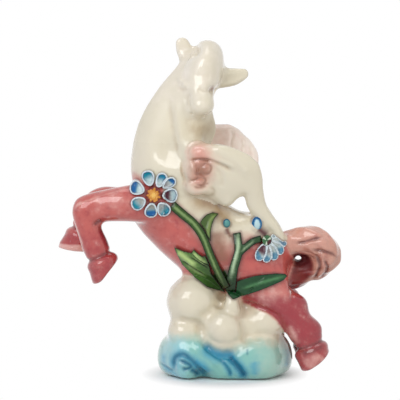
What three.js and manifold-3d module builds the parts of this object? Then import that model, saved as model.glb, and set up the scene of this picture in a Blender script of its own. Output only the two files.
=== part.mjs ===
// A porcelain ornament: a winged horse rears over a cloud that stands on a wave-shaped base.
// The base, cloud, trunk and neck are hollow slip castings that share one vented cavity. The head, ears,
// mane, legs, wings and tail are cast by themselves and luted on. A sprig of flowers is applied by hand.
// Frame: millimetres, +Z up, the horse faces -X and its left side faces -Y.
// The origin is the middle of the flat underside of the base.
import * as THREE from 'three';
import { mergeVertices } from 'three/addons/utils/BufferGeometryUtils.js';
import Module from 'manifold-3d';

const wasm = await Module();
wasm.setup();

// Joints and walls
const SEAM = 0.3; // slip joint between two cast pieces
const WALL = 4; // wall of the hollow castings
const VENT_RADIUS = 4; // drain hole through the floor of the base
const VENT_OFFSET = 14; // drain hole's distance from the middle of the base
const THROAT_RADIUS = 7; // passage between the cavities of the base, cloud and trunk

// Wave base
const BASE_LENGTH = 61.5;
const BASE_DEPTH = 44;
const BASE_HEIGHT = 21;
const BASE_SQUARENESS = 2.8; // 2 is an oval plan, higher is nearer to a rectangle
const BASE_FOOT_ROUND = 6; // rounding of the lower edge
const BASE_SHOULDER_ROUND = 11; // rounding of the upper edge
const BASE_LOBES = 6; // swells round the plan
const BASE_LOBE_DEPTH = 1.1;

// Cloud puffs: [x, side, set back from that side of the base, drop below the barrel's underside,
// half length, half depth, half height]
const PUFFS = [
  [1, 0, 22, 21, 25.5, 17.5, 15],
  [-14.1, -1, 15, 9, 13.6, 12.5, 13.5],
  [-18.4, -1, 13, 22.5, 8.5, 9, 8.5],
  [0.4, -1, 10.5, 19.5, 10.5, 10, 11],
  [2.9, -1, 9, 12, 5.2, 5.5, 8],
  [18.6, -1, 16, 18.5, 11, 10, 10.5],
  [-12.6, 1, 14, 11, 12.5, 12, 13],
  [4.4, 1, 10, 18, 10.5, 9.5, 11],
  [19, 1, 15, 20, 10.5, 9, 10],
];

// Trunk: its barrel stands over the cloud, the chest in front and above it, the rump behind and below
const BARREL_X = -7.9;
const BARREL_RISE = 42.3; // above the top of the base
const BARREL_HEIGHT = 38.5;
const BARREL_WIDTH = 37;
const CHEST_REACH = 19.9;
const CHEST_RISE = 16.1;
const CHEST_HEIGHT = 34;
const CHEST_WIDTH = 32;
const CHEST_ROUND = 16; // length of the rounded front end
const RUMP_REACH = 23.2;
const RUMP_DROP = 12.8;
const RUMP_HEIGHT = 38;
const RUMP_WIDTH = 38;
const RUMP_ROUND = 16; // length of the rounded back end
const LOIN_SWELL = [19.5, 0, 4.4, 10, 16, 9.2]; // the back's rise behind the wings, from the barrel's centre

// Rings of the limbs, root first: [x, y, z, half breadth in the side view, half thickness across it].
// Forelegs and neck count from the chest centre, hind legs and tail from the rump centre.
const NECK_RINGS = [
  [3.2, 0, 4.7, 17, 14],
  [1.4, 0, 18.7, 18, 15],
  [4.2, 0, 35.1, 17, 13],
  [7.4, 0, 45.4, 14.5, 11],
  [11.6, 0, 54.7, 12, 9.5],
  [15.7, 0, 62.5, 9.5, 8.5],
];
const NECK_ROUND = 7;
const ELBOW_ROUND = 6; // end of the forearm in the knee
const KNEE_ROUND = 5; // top of the shank
const LEFT_FOREARM_RINGS = [
  [-2, -10, 3, 11, 8],
  [-18.6, -12.5, 2.1, 8.2, 7.6],
  [-30.2, -13, 0.9, 7.4, 6.8],
  [-36.5, -13, -0.6, 7, 6.6],
];
const LEFT_SHANK_RINGS = [
  [-36.5, -13, -1, 6.6, 6.6],
  [-35.2, -13, -9, 5.8, 5.8],
  [-31.9, -13, -17.5, 6.3, 6.2],
  [-30.4, -13, -21.3, 5.9, 5.8],
  [-29.2, -13, -24, 7.2, 6.9],
  [-25.8, -13, -31, 8.6, 7.6],
];
const LEFT_SOLE_AT = [-26.7, -13, -29.7];
const LEFT_SOLE_ANGLE = 49; // degrees that the sole rises towards the tail
const RIGHT_FOREARM_RINGS = [
  [-2, 10, 0, 11, 8],
  [-20.9, 12.5, -0.8, 8, 7.6],
  [-28, 13, 0.2, 7.4, 6.8],
  [-32, 13, -0.6, 6.8, 6.6],
];
const RIGHT_SHANK_RINGS = [
  [-32.4, 13, -1, 6.4, 6.6],
  [-35.2, 13, -6.4, 5.8, 5.8],
  [-37.6, 13, -10.4, 6, 6.2],
  [-38.6, 13, -12.8, 5.5, 5.8],
  [-39.8, 13, -15.4, 6.5, 6.9],
  [-43.4, 13, -23.6, 8, 7.6],
];
const RIGHT_SOLE_AT = [-42.4, 13, -21.2];
const RIGHT_SOLE_ANGLE = -8; // degrees that the sole rises towards the tail
const HIND_RINGS = [
  [2, 10, -4.4, 13, 8.5],
  [11.8, 11.5, -13.8, 9.4, 8],
  [18.4, 12.8, -22.7, 7.2, 6.8],
  [22.2, 13, -29.7, 7.4, 6.8],
  [23.6, 13, -32.8, 6, 6],
  [24.9, 13, -35.8, 7.2, 6.9],
  [28, 13, -44.4, 8.6, 7.6],
];
const HIND_SOLE_AT = [27.4, 13, -43.1];
const HIND_SOLE_ANGLE = 38; // degrees that the sole rises towards the tail
const HIND_OFFSET = -1; // the right hind leg stands this far ahead of the left one
const TAIL_RINGS = [
  [8, 0, 9.6, 5, 5.5],
  [19, -2, 12.2, 6.4, 6.8],
  [26, -3, 11.9, 6.8, 7],
  [30.8, -3, 8.9, 6.7, 7.2],
  [32.2, -2, 4.1, 6.7, 7.2],
  [29.4, 0, -0.4, 6.6, 7],
  [23.7, 2, -2.4, 6.6, 6.6],
  [16, 3, -4.2, 6, 5.8],
];
const TAIL_ROUND = 2;
const TAIL_STRANDS = 6;
const TAIL_STRAND_DEPTH = 0.09; // share of the tail's radius
const TAIL_TURNS = 0.8;

// Head, counted from the top of the neck: [x, y, z, half depth from brow to jaw, half width of the face]
const HEAD_RINGS = [
  [4.2, 1.5, 8, 7, 7.4],
  [3.4, -2.6, 2.6, 9, 8.6],
  [0.8, -7.6, -4, 8.6, 8.6],
  [0.8, -12.6, -10.4, 5.9, 5.9],
  [1.5, -16, -15, 5.5, 5.9],
];
const CROWN_ROUND = 4.5;
const MUZZLE_ROUND = 4;
const RIGHT_EAR_RINGS = [
  [-2.8, 3.5, 3.6, 4.4, 3],
  [-5.2, 3.8, 8.8, 4.8, 2.8],
  [-7, 3.6, 12.8, 3, 2],
];
const LEFT_EAR_RINGS = [
  [8, 1, -4, 4.6, 3.2],
  [15.6, 0.4, -2.8, 4.4, 3],
  [20.8, 0, -1.2, 2.6, 2],
];
const EAR_ROUND = 2;
const EAR_CUP = 0.45; // share of the ear that its hollow takes
// Mane, counted from the top of the neck: a lock that falls over the left side
const MANE_RINGS = [
  [4.4, 1, -2, 5, 5],
  [1, -4.5, -10, 6, 5.4],
  [-2.8, -8.8, -19, 6.2, 5],
  [-4.8, -11.4, -29, 5.8, 4.6],
  [-3.8, -13, -38, 4.4, 3.6],
];
const MANE_ROUND = 4;

// Left wing, counted from the chest centre; the right wing is its mirror, raised in the middle
const WING_FLARE = 18; // degrees the upper edge leans out from the body
const WING_RINGS = [
  [14.8, -12.4, 16, 12.6, 5],
  [22.7, -14.6, 16.8, 14.6, 4.4],
  [30.1, -15.2, 15.4, 14.2, 4],
  [36.4, -14.6, 12.4, 12.2, 3.6],
  [41.2, -13, 7.4, 5, 3.4],
  [43.8, -11, -0.6, 4, 3.2],
  [50.8, -9.4, -9, 2.8, 3],
  [53.6, -8.6, -13, 2, 2.6],
];
const WING_ROOT_ROUND = 5;
const WING_TIP_ROUND = 3;
const RIGHT_WING_LIFT = 8;
const RIGHT_WING_TUCK = 2.6; // the right wing's tip lies this far ahead of the left one's
// Scrolled feathers on the wing's leading edge: [x, y, z, half length, half depth, half height]
const WING_SCROLLS = [
  [15.4, -16.8, 26.6, 6.2, 4, 4.8],
  [13.2, -16, 18.6, 5.2, 4, 5.2],
  [14.4, -15.4, 10.6, 5.6, 3.8, 4.8],
];
// Short feathers laid over the wing along its upper edge
const COVERT_RINGS = [
  [14, -16.2, 25.5, 5, 4],
  [20.5, -17.6, 26.2, 5, 3.8],
  [26.5, -18, 23.6, 5.4, 3.4],
  [30.4, -17.8, 20.2, 3.6, 2.8],
];
const COVERT_ROUND = 3;

// Applied sprig on the left side, drawn in the side view from the barrel centre: [x, z]
const SPRIG_START = 8; // distance of the sprig's inner limit from the middle plane
const SPRIG_DEPTH = 36; // reach of the outlines beyond that limit, before they are trimmed in height
const STEM_HEIGHT = 1.9;
const LEAF_HEIGHT = 1.7;
const PETAL_HEIGHT = 2;
const EYE_HEIGHT = 2.8;
const DAISY_AT = [-25, 23.2];
const DAISY_PETAL_LENGTH = 6.8;
const DAISY_PETAL_REACHES = [7.5, 8.6, 7.3, 7.6, 8, 7.7, 7.1, 8]; // from the daisy's to a petal's middle
const DAISY_PETAL_WIDTHS = [6, 4.2, 4.6, 5.4, 5.4, 5.6, 5.4, 5.6];
const DAISY_PETAL_ANGLES = [-4, 35, 62, 108, 159, 208, 261, 304]; // degrees up from the tail's direction
const PETAL_FLARE = 0.3; // share by which a petal widens towards its outer end
const DAISY_EYE_RADIUS = 3.6;
const DAISY_STEM_HALF_WIDTHS = [2.1, 1.8]; // at the flower and at the foot
const FORKED_STEM_HALF_WIDTHS = [2.3, 1.8]; // at the foot and at the tip
const FORK_BRANCH_HALF_WIDTHS = [1.7, 1.5];
const DAISY_STEM = [
  [-16.6, 18.3], [-11.4, 13.9], [-6.8, 10.1], [-3.3, 5.5], [-1, 0.8], [0.9, -4.3], [2.9, -8.9], [5.4, -14.4],
  [8.4, -20.4],
];
const FORKED_STEM = [[10.2, -22], [11.3, -12.9], [12.5, -8.2], [13.9, -3.5], [13.9, 0.2], [13.2, 5.4]];
const FORK_BRANCH = [[13.8, -4.2], [15.8, -2.2], [18.2, -0.3], [21, 1.6], [24.6, 2.6]];
const HOOKED_LEAF = [
  [-5, 7.6], [-4.1, 9.7], [-2.5, 12.1], [-0.6, 13.8], [2.1, 14.6], [4.9, 13.9], [2.9, 11.9], [1.8, 9],
  [1.2, 5.5], [1.2, 1.5], [1.6, -3.4],
];
const SERRATED_LEAF = [
  [-15.7, -1.5], [-11.4, -3.2], [-7.6, -3.9], [-6.6, -2], [-4.6, -4.2], [-2.4, -5.4], [-0.4, -4.6],
  [1.4, -13.6], [8, -23], [-0.2, -20], [-6.6, -15.4], [-12, -10],
];
const LONG_LEAF = [
  [8, -22], [11, -18.2], [14.8, -16.2], [22, -14], [31, -13.2], [35.6, -13.7], [36.5, -14.7], [34.8, -16.4],
  [31, -18], [23, -21.4], [15.4, -24.4], [11.4, -25.4],
];
const FAN_AT = [27, 1.8];
const FAN_PETALS = 6;
const FAN_PETAL_REACH = 5.7;
const FAN_PETAL_LENGTH = 8.2;
const FAN_PETAL_WIDTH = 4.2;
const FAN_FROM = -116; // degrees from the horse's back to the first and last fan petal
const FAN_TO = 12;
const CALYX_RADIUS = 2.1;
const BUD_AT = [22.5, 8.9];
const BUD_LENGTH = 7;
const BUD_WIDTH = 5.2;
const BUD_TILT = 98;
const TIP_BUD_AT = [8.6, 9.6];
const TIP_BUD_LENGTH = 4.2;
const TIP_BUD_WIDTH = 3.2;
const TIP_BUD_TILT = 145;

// Fineness of the surfaces
const SIDES = 14; // points round a limb
const TRUNK_SIDES = 20;
const BASE_SIDES = 42;
const STEPS_PER_RING = 2; // stations between two given rings
const DOME_STEPS = 3; // stations on a rounded end
const PUFF_SIDES = 12;
const OVAL_POINTS = 14; // points round a petal
const STROKE_STEPS = 3; // stations between two points of a stem
const MERGE_DISTANCE = 1e-4;
const LEAST_RADIUS = 0.6; // thinnest core left inside a wall
const FAR = 400; // size of a block that trims away everything on one side

const DEPTH_AXIS = new THREE.Vector3(0, 1, 0);
const LENGTH_AXIS = new THREE.Vector3(1, 0, 0);

// Anchors that the pieces count from
const barrel = new THREE.Vector3(BARREL_X, 0, BASE_HEIGHT + BARREL_RISE);
const underBarrel = new THREE.Vector3(0, 0, barrel.z - BARREL_HEIGHT / 2);
const chest = barrel.clone().add(new THREE.Vector3(-CHEST_REACH, 0, CHEST_RISE));
const rump = barrel.clone().add(new THREE.Vector3(RUMP_REACH, 0, -RUMP_DROP));
const neckTop = chest.clone().add(new THREE.Vector3(...NECK_RINGS.at(-1).slice(0, 3)));

// Solids

function solidOf(geometry) {
  const bare = geometry.clone();
  bare.deleteAttribute('normal');
  bare.deleteAttribute('uv');
  const merged = mergeVertices(bare, MERGE_DISTANCE);
  return new wasm.Manifold(new wasm.Mesh({
    numProp: 3,
    vertProperties: new Float32Array(merged.attributes.position.array),
    triVerts: new Uint32Array(merged.index.array),
  }));
}

const join = (first, ...others) => others.reduce((whole, other) => whole.add(other), first);
const cut = (first, ...tools) => tools.reduce((rest, tool) => rest.subtract(tool), first);

// The largest body that a cut leaves, without the slivers beside it
function mainBody(solid) {
  return solid.decompose().reduce((most, body) => (body.volume() > most.volume() ? body : most));
}

// A closed skin over a row of rings with equal point counts, with a fan over each end
function skinOver(rings, startPole, endPole) {
  const sides = rings[0].length;
  const points = [...rings.flat(), startPole, endPole];
  const startIndex = points.length - 2;
  const endIndex = points.length - 1;
  const lastRing = (rings.length - 1) * sides;
  const faces = [];
  for (let side = 0; side < sides; side++) {
    const next = (side + 1) % sides;
    for (let row = 0; row < lastRing; row += sides) {
      faces.push(row + side, row + next, row + sides + next);
      faces.push(row + side, row + sides + next, row + sides + side);
    }
    faces.push(startIndex, next, side);
    faces.push(endIndex, lastRing + side, lastRing + next);
  }
  const geometry = new THREE.BufferGeometry().setFromPoints(points);
  geometry.setIndex(faces);
  return solidOf(geometry);
}

// A limb: oval rings along a smooth curve, rounded at both ends. grow swells it on every side.
function limb(rings, from, { round = [0, 0], across = DEPTH_AXIS, sides = SIDES, grow = 0, strands } = {}) {
  const centres = rings.map(([x, y, z]) => new THREE.Vector3(x, y, z).add(from));
  const path = new THREE.CatmullRomCurve3(centres);
  const girth = new THREE.CatmullRomCurve3(
    rings.map(([, , , breadth, thickness]) => new THREE.Vector3(breadth, thickness, 0)),
    false,
    'catmullrom',
  );
  const steps = (rings.length - 1) * STEPS_PER_RING;

  function ringAt(share, back, scale) {
    const tangent = path.getTangent(share);
    const side = across.clone().addScaledVector(tangent, -across.dot(tangent)).normalize();
    const up = new THREE.Vector3().crossVectors(tangent, side);
    const centre = path.getPoint(share).addScaledVector(tangent, back);
    const size = girth.getPoint(share);
    const breadth = Math.max(size.x + grow, LEAST_RADIUS) * scale;
    const thickness = Math.max(size.y + grow, LEAST_RADIUS) * scale;
    return Array.from({ length: sides }, (_, i) => {
      const angle = (i / sides) * 2 * Math.PI;
      const lobe = strands
        ? 1 + strands.depth * Math.cos(strands.count * (angle - strands.turns * 2 * Math.PI * share))
        : 1;
      return centre.clone()
        .addScaledVector(side, thickness * lobe * Math.cos(angle))
        .addScaledVector(up, breadth * lobe * Math.sin(angle));
    });
  }

  const startLength = Math.max(round[0] + grow, 0);
  const endLength = Math.max(round[1] + grow, 0);
  const stations = [];
  for (let i = 1; i < DOME_STEPS; i++) {
    const angle = (i / DOME_STEPS) * Math.PI / 2;
    if (startLength > 0) stations.push(ringAt(0, -startLength * Math.cos(angle), Math.sin(angle)));
  }
  for (let i = 0; i <= steps; i++) stations.push(ringAt(i / steps, 0, 1));
  for (let i = DOME_STEPS - 1; i > 0; i--) {
    const angle = (i / DOME_STEPS) * Math.PI / 2;
    if (endLength > 0) stations.push(ringAt(1, endLength * Math.cos(angle), Math.sin(angle)));
  }
  const startPole = path.getPoint(0).addScaledVector(path.getTangent(0), -startLength);
  const endPole = path.getPoint(1).addScaledVector(path.getTangent(1), endLength);
  return skinOver(stations, startPole, endPole);
}

function puff([x, y, z, length, depth, height], from, grow = 0) {
  const ball = new THREE.SphereGeometry(1, PUFF_SIDES, PUFF_SIDES / 2);
  const size = [length, depth, height].map((half) => Math.max(half + grow, LEAST_RADIUS));
  ball.scale(...size);
  ball.translate(from.x + x, from.y + y, from.z + z);
  return solidOf(ball);
}

function upright(radius, fromZ, toZ, x, y) {
  const post = new THREE.CylinderGeometry(radius, radius, toZ - fromZ, SIDES);
  post.rotateX(Math.PI / 2);
  post.translate(x, y, (fromZ + toZ) / 2);
  return solidOf(post);
}

// Everything below a plane that passes through a point and rises towards the horse's tail by so many degrees
function belowPlane([x, y, z], angle, from) {
  const block = new THREE.BoxGeometry(FAR, FAR, FAR);
  block.translate(0, 0, -FAR / 2);
  block.rotateY(THREE.MathUtils.degToRad(-angle));
  block.translate(from.x + x, from.y + y, from.z + z);
  return solidOf(block);
}

const mirrored = (rings) => rings.map(([x, y, z, ...size]) => [x, -y, z, ...size]);
const shifted = (rings, length) => rings.map(([x, ...rest]) => [x + length, ...rest]);

// Cast pieces: each function gives the bare form, swollen by grow

function baseForm(grow = 0) {
  const rings = [];
  const foot = BASE_FOOT_ROUND;
  const shoulder = BASE_SHOULDER_ROUND;
  const ring = (z, inset) => Array.from({ length: BASE_SIDES }, (_, i) => {
    const angle = (i / BASE_SIDES) * 2 * Math.PI;
    const bulge = grow - inset + BASE_LOBE_DEPTH * Math.cos(BASE_LOBES * angle);
    const round = (value) => Math.sign(value) * Math.abs(value) ** (2 / BASE_SQUARENESS);
    const x = (BASE_LENGTH / 2 + bulge) * round(Math.cos(angle));
    const y = (BASE_DEPTH / 2 + bulge) * round(Math.sin(angle));
    return new THREE.Vector3(x, y, z);
  });
  for (let i = 0; i <= DOME_STEPS; i++) {
    const angle = (i / DOME_STEPS) * Math.PI / 2;
    rings.push(ring(-grow + foot * (1 - Math.cos(angle)), foot * (1 - Math.sin(angle))));
  }
  for (let i = 0; i <= DOME_STEPS; i++) {
    const angle = (i / DOME_STEPS) * Math.PI / 2;
    rings.push(ring(BASE_HEIGHT + grow - shoulder * (1 - Math.sin(angle)), shoulder * (1 - Math.cos(angle))));
  }
  return skinOver(rings, new THREE.Vector3(0, 0, -grow), new THREE.Vector3(0, 0, BASE_HEIGHT + grow));
}

// A puff rests against the barrel's underside, however high that stands, and keeps to its side of the base
const puffSize = ([x, side, setBack, drop, ...halves]) => (
  [x, side * (BASE_DEPTH / 2 - setBack), -drop, ...halves]
);
const cloudForm = (grow = 0) => join(...PUFFS.map((one) => puff(puffSize(one), underBarrel, grow)));

function trunkForm(grow = 0) {
  const rings = [
    [-CHEST_REACH, 0, CHEST_RISE, CHEST_HEIGHT / 2, CHEST_WIDTH / 2],
    [0, 0, 0, BARREL_HEIGHT / 2, BARREL_WIDTH / 2],
    [RUMP_REACH, 0, -RUMP_DROP, RUMP_HEIGHT / 2, RUMP_WIDTH / 2],
  ];
  const body = limb(rings, barrel, { round: [CHEST_ROUND, RUMP_ROUND], sides: TRUNK_SIDES, grow });
  return join(body, puff(LOIN_SWELL, barrel, grow));
}

const neckForm = (grow = 0) => limb(NECK_RINGS, chest, { round: [0, NECK_ROUND], sides: TRUNK_SIDES, grow });

function foreleg(forearm, shank, soleAt, soleAngle, grow = 0) {
  const upper = limb(forearm, chest, { round: [0, ELBOW_ROUND], grow });
  const lower = limb(shank, chest, { round: [KNEE_ROUND, 0], grow });
  return cut(join(upper, lower), belowPlane(soleAt, soleAngle, chest.clone().setZ(chest.z - grow)));
}

const leftForeleg = (grow = 0) => (
  foreleg(LEFT_FOREARM_RINGS, LEFT_SHANK_RINGS, LEFT_SOLE_AT, LEFT_SOLE_ANGLE, grow)
);
const rightForeleg = (grow = 0) => (
  foreleg(RIGHT_FOREARM_RINGS, RIGHT_SHANK_RINGS, RIGHT_SOLE_AT, RIGHT_SOLE_ANGLE, grow)
);

function hindLeg(rings, offset, grow = 0) {
  const from = rump.clone().add(new THREE.Vector3(offset, 0, -grow));
  return cut(limb(shifted(rings, offset), rump, { grow }), belowPlane(HIND_SOLE_AT, HIND_SOLE_ANGLE, from));
}

const leftHindLeg = (grow = 0) => hindLeg(mirrored(HIND_RINGS), 0, grow);
const rightHindLeg = (grow = 0) => hindLeg(HIND_RINGS, HIND_OFFSET, grow);

const tailForm = (grow = 0) => limb(TAIL_RINGS, rump, {
  round: [TAIL_ROUND, TAIL_ROUND],
  sides: TAIL_STRANDS * 5,
  strands: { count: TAIL_STRANDS, depth: TAIL_STRAND_DEPTH, turns: TAIL_TURNS },
  grow,
});

const headForm = (grow = 0) => limb(HEAD_RINGS, neckTop, {
  round: [CROWN_ROUND, MUZZLE_ROUND],
  across: LENGTH_AXIS,
  grow,
});

const earForm = (rings, grow = 0) => limb(rings, neckTop, { round: [EAR_ROUND, EAR_ROUND], grow });

// The hollow of an ear is the same leaf, narrower and moved out towards its front
function earCup(rings) {
  const cup = rings.map(([x, y, z, breadth, thickness]) => (
    [x, y - thickness, z, breadth * EAR_CUP, thickness * EAR_CUP]
  ));
  return limb(cup, neckTop, { round: [EAR_ROUND * EAR_CUP, 0] });
}

const maneForm = (grow = 0) => limb(MANE_RINGS, neckTop, { round: [MANE_ROUND, MANE_ROUND], grow });

function wingForm(turn, lift, tuck, grow = 0) {
  const flare = THREE.MathUtils.degToRad(WING_FLARE);
  const across = new THREE.Vector3(0, Math.cos(flare), turn * Math.sin(flare));
  const [start] = WING_RINGS[0];
  const span = WING_RINGS.at(-1)[0] - start;
  const posed = ([x, y, z, ...size]) => {
    const share = THREE.MathUtils.clamp((x - start) / span, 0, 1);
    return [x - tuck * share, y * turn, z + lift * Math.sin(Math.PI * share), ...size];
  };
  const layer = (rings, round) => limb(rings.map(posed), chest, { round, across, grow });
  const blade = layer(WING_RINGS, [WING_ROOT_ROUND, WING_TIP_ROUND]);
  const coverts = layer(COVERT_RINGS, [COVERT_ROUND, COVERT_ROUND]);
  const scrolls = WING_SCROLLS.map((scroll) => puff(posed(scroll), chest, grow));
  return join(blade, coverts, ...scrolls);
}

const leftWing = (grow = 0) => wingForm(1, 0, 0, grow);
const rightWing = (grow = 0) => wingForm(-1, RIGHT_WING_LIFT, RIGHT_WING_TUCK, grow);

// Applied flowers: an outline in the side view becomes a layer of even height on whatever lies under it

function slab(shape) {
  const body = new THREE.ExtrudeGeometry(shape, { depth: SPRIG_DEPTH, bevelEnabled: false });
  body.rotateX(Math.PI / 2);
  body.translate(barrel.x, -SPRIG_START, barrel.z);
  return solidOf(body);
}

// An oval round a point, wider towards the end that the tilt points to
function oval([x, z], length, width, tilt, grow = 0, flare = 0) {
  const turn = THREE.MathUtils.degToRad(tilt);
  const rim = Array.from({ length: OVAL_POINTS }, (_, i) => {
    const angle = (i / OVAL_POINTS) * 2 * Math.PI;
    const along = (length / 2 + grow) * Math.cos(angle);
    const aside = (width / 2 * (1 + flare * Math.cos(angle)) + grow) * Math.sin(angle);
    return new THREE.Vector2(x + along, z + aside).rotateAround(new THREE.Vector2(x, z), turn);
  });
  return slab(new THREE.Shape(rim));
}

const smooth = (points) => new THREE.SplineCurve(points.map(([x, z]) => new THREE.Vector2(x, z)));

// A stem: a stripe along a curve that narrows from its start to its end
function stripe(points, [startHalf, endHalf], grow = 0) {
  const curve = smooth(points);
  const steps = (points.length - 1) * STROKE_STEPS;
  const edge = (turn) => Array.from({ length: steps + 1 }, (_, i) => {
    const share = i / steps;
    const heading = curve.getTangent(share);
    const half = THREE.MathUtils.lerp(startHalf, endHalf, share) + grow;
    return curve.getPoint(share).add(new THREE.Vector2(-heading.y, heading.x).multiplyScalar(turn * half));
  });
  return slab(new THREE.Shape([...edge(-1), ...edge(1).reverse()]));
}

function leafOutline(points) {
  return slab(new THREE.Shape(points.map(([x, z]) => new THREE.Vector2(x, z))));
}

function petalSpot([x, z], reach, tilt) {
  const turn = THREE.MathUtils.degToRad(tilt);
  return [x + reach * Math.cos(turn), z + reach * Math.sin(turn)];
}

// Colours of the glazes
const CREAM = '#E6DECB';
const ROSE = '#C4756C';
const DEEP_ROSE = '#AD565A';
const BLUSH = '#DDA493';
const WAVE_BLUE = '#79B4C0';
const PETAL_BLUE = '#6FA6C4';
const SAFFRON = '#DFA04A';
const LEAF_GREEN = '#5F7F45';
const STEM_GREEN = '#4C6B3B';
const GLAZE_ROUGHNESS = 0.15;

const figurine = new THREE.Group();
const stand = new THREE.Group();
const horse = new THREE.Group();
const sprig = new THREE.Group();
figurine.add(stand, horse, sprig);

function place(group, name, solid, colour) {
  const { vertProperties, triVerts } = mainBody(solid).getMesh();
  const geometry = new THREE.BufferGeometry();
  geometry.setAttribute('position', new THREE.BufferAttribute(new Float32Array(vertProperties), 3));
  geometry.setIndex(new THREE.BufferAttribute(new Uint32Array(triVerts), 1));
  geometry.computeVertexNormals();
  const finish = { color: colour, roughness: GLAZE_ROUGHNESS, metalness: 0 };
  const mesh = new THREE.Mesh(geometry, new THREE.MeshStandardMaterial(finish));
  mesh.name = name;
  group.add(mesh);
}

// Swollen forms that trim their neighbours, so that each joint keeps its seam
const baseSeat = baseForm(SEAM);
const trunkSeat = trunkForm(SEAM);
const cloudSeat = cloudForm(SEAM);
const neckSeat = neckForm(SEAM);
const headSeat = headForm(SEAM);
const maneSeat = maneForm(SEAM);
const leftForelegSeat = leftForeleg(SEAM);
const leftHindSeat = leftHindLeg(SEAM);
const rightHindSeat = rightHindLeg(SEAM);
const leftWingSeat = leftWing(SEAM);
const tailSeat = tailForm(SEAM);

// Hollow castings
const topPassage = upright(THROAT_RADIUS, BASE_HEIGHT / 2, barrel.z, 0, 0);
const drain = upright(VENT_RADIUS, -WALL, BASE_HEIGHT / 2, VENT_OFFSET, 0);
place(stand, 'wave_base', cut(baseForm(), baseForm(-WALL), topPassage, drain), WAVE_BLUE);
const cloudCavity = puff(puffSize(PUFFS[0]), underBarrel, -WALL);
place(stand, 'cloud', cut(cloudForm(), cloudCavity, baseSeat, trunkSeat), CREAM);
place(horse, 'trunk', cut(trunkForm(), trunkForm(-WALL), neckForm(-WALL), topPassage), ROSE);
place(horse, 'neck', cut(neckForm(), neckForm(-WALL), trunkSeat), CREAM);

// Head and mane
place(horse, 'head', cut(headForm(), neckSeat), CREAM);
place(horse, 'mane', cut(maneForm(), neckSeat, headSeat, trunkSeat), CREAM);
for (const [name, rings] of [['right_ear', RIGHT_EAR_RINGS], ['left_ear', LEFT_EAR_RINGS]]) {
  place(horse, name, cut(earForm(rings), earCup(rings), headSeat, neckSeat, maneSeat), CREAM);
}

// Legs and tail
place(horse, 'left_foreleg', cut(leftForeleg(), trunkSeat, neckSeat), ROSE);
place(horse, 'right_foreleg', cut(rightForeleg(), trunkSeat, neckSeat), ROSE);
place(horse, 'left_hind_leg', cut(leftHindLeg(), trunkSeat, cloudSeat, baseSeat), DEEP_ROSE);
place(horse, 'right_hind_leg', cut(rightHindLeg(), trunkSeat, cloudSeat, baseSeat), DEEP_ROSE);
place(horse, 'tail', cut(tailForm(), trunkSeat, leftHindSeat, rightHindSeat), BLUSH);

// Wings
place(horse, 'left_wing', cut(leftWing(), trunkSeat, neckSeat, maneSeat, headSeat), CREAM);
place(horse, 'right_wing', cut(rightWing(), trunkSeat, neckSeat, maneSeat, headSeat, leftWingSeat), CREAM);

// Sprig of flowers
const ground = (grow) => join(
  trunkForm(grow), neckForm(grow), leftForeleg(grow), leftHindLeg(grow), cloudForm(grow),
);
const groundSeat = ground(SEAM);
function applied(name, outline, height, colour, ...tools) {
  const layer = outline.intersect(ground(height)).subtract(groundSeat);
  place(sprig, name, cut(layer, ...tools, leftWingSeat, maneSeat, tailSeat), colour);
}

const daisyPetals = DAISY_PETAL_ANGLES.map((angle, i) => (
  { angle, reach: DAISY_PETAL_REACHES[i], width: DAISY_PETAL_WIDTHS[i] }
));
const daisyPetal = ({ angle, reach, width }, grow = 0) => (
  oval(petalSpot(DAISY_AT, reach, angle), DAISY_PETAL_LENGTH, width, angle, grow, PETAL_FLARE)
);
const daisyEye = (grow = 0) => oval(DAISY_AT, 2 * DAISY_EYE_RADIUS, 2 * DAISY_EYE_RADIUS, 0, grow);
applied('daisy_eye', daisyEye(), EYE_HEIGHT, SAFFRON);
daisyPetals.forEach((petal, i) => {
  const laidBefore = daisyPetals.slice(0, i).map((other) => daisyPetal(other, SEAM));
  applied(`daisy_petal_${i + 1}`, daisyPetal(petal), PETAL_HEIGHT, PETAL_BLUE, daisyEye(SEAM), ...laidBefore);
});

const fanStep = (FAN_TO - FAN_FROM) / (FAN_PETALS - 1);
const fanTilts = Array.from({ length: FAN_PETALS }, (_, i) => FAN_FROM + fanStep * i);
const fanPetal = (tilt, grow = 0) => (
  oval(petalSpot(FAN_AT, FAN_PETAL_REACH, tilt), FAN_PETAL_LENGTH, FAN_PETAL_WIDTH, tilt, grow, PETAL_FLARE)
);
const calyx = (grow = 0) => oval(FAN_AT, 2 * CALYX_RADIUS, 2 * CALYX_RADIUS, 0, grow);
const bud = (grow = 0) => oval(BUD_AT, BUD_LENGTH, BUD_WIDTH, BUD_TILT, grow);
const tipBud = (grow = 0) => oval(TIP_BUD_AT, TIP_BUD_LENGTH, TIP_BUD_WIDTH, TIP_BUD_TILT, grow);
applied('fan_calyx', calyx(), EYE_HEIGHT, STEM_GREEN);
fanTilts.forEach((tilt, i) => {
  const laidBefore = fanTilts.slice(0, i).map((other) => fanPetal(other, SEAM));
  applied(`fan_petal_${i + 1}`, fanPetal(tilt), PETAL_HEIGHT, PETAL_BLUE, calyx(SEAM), ...laidBefore);
});
applied('side_bud', bud(), PETAL_HEIGHT, PETAL_BLUE, calyx(SEAM));
applied('tip_bud', tipBud(), PETAL_HEIGHT, PETAL_BLUE);

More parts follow.
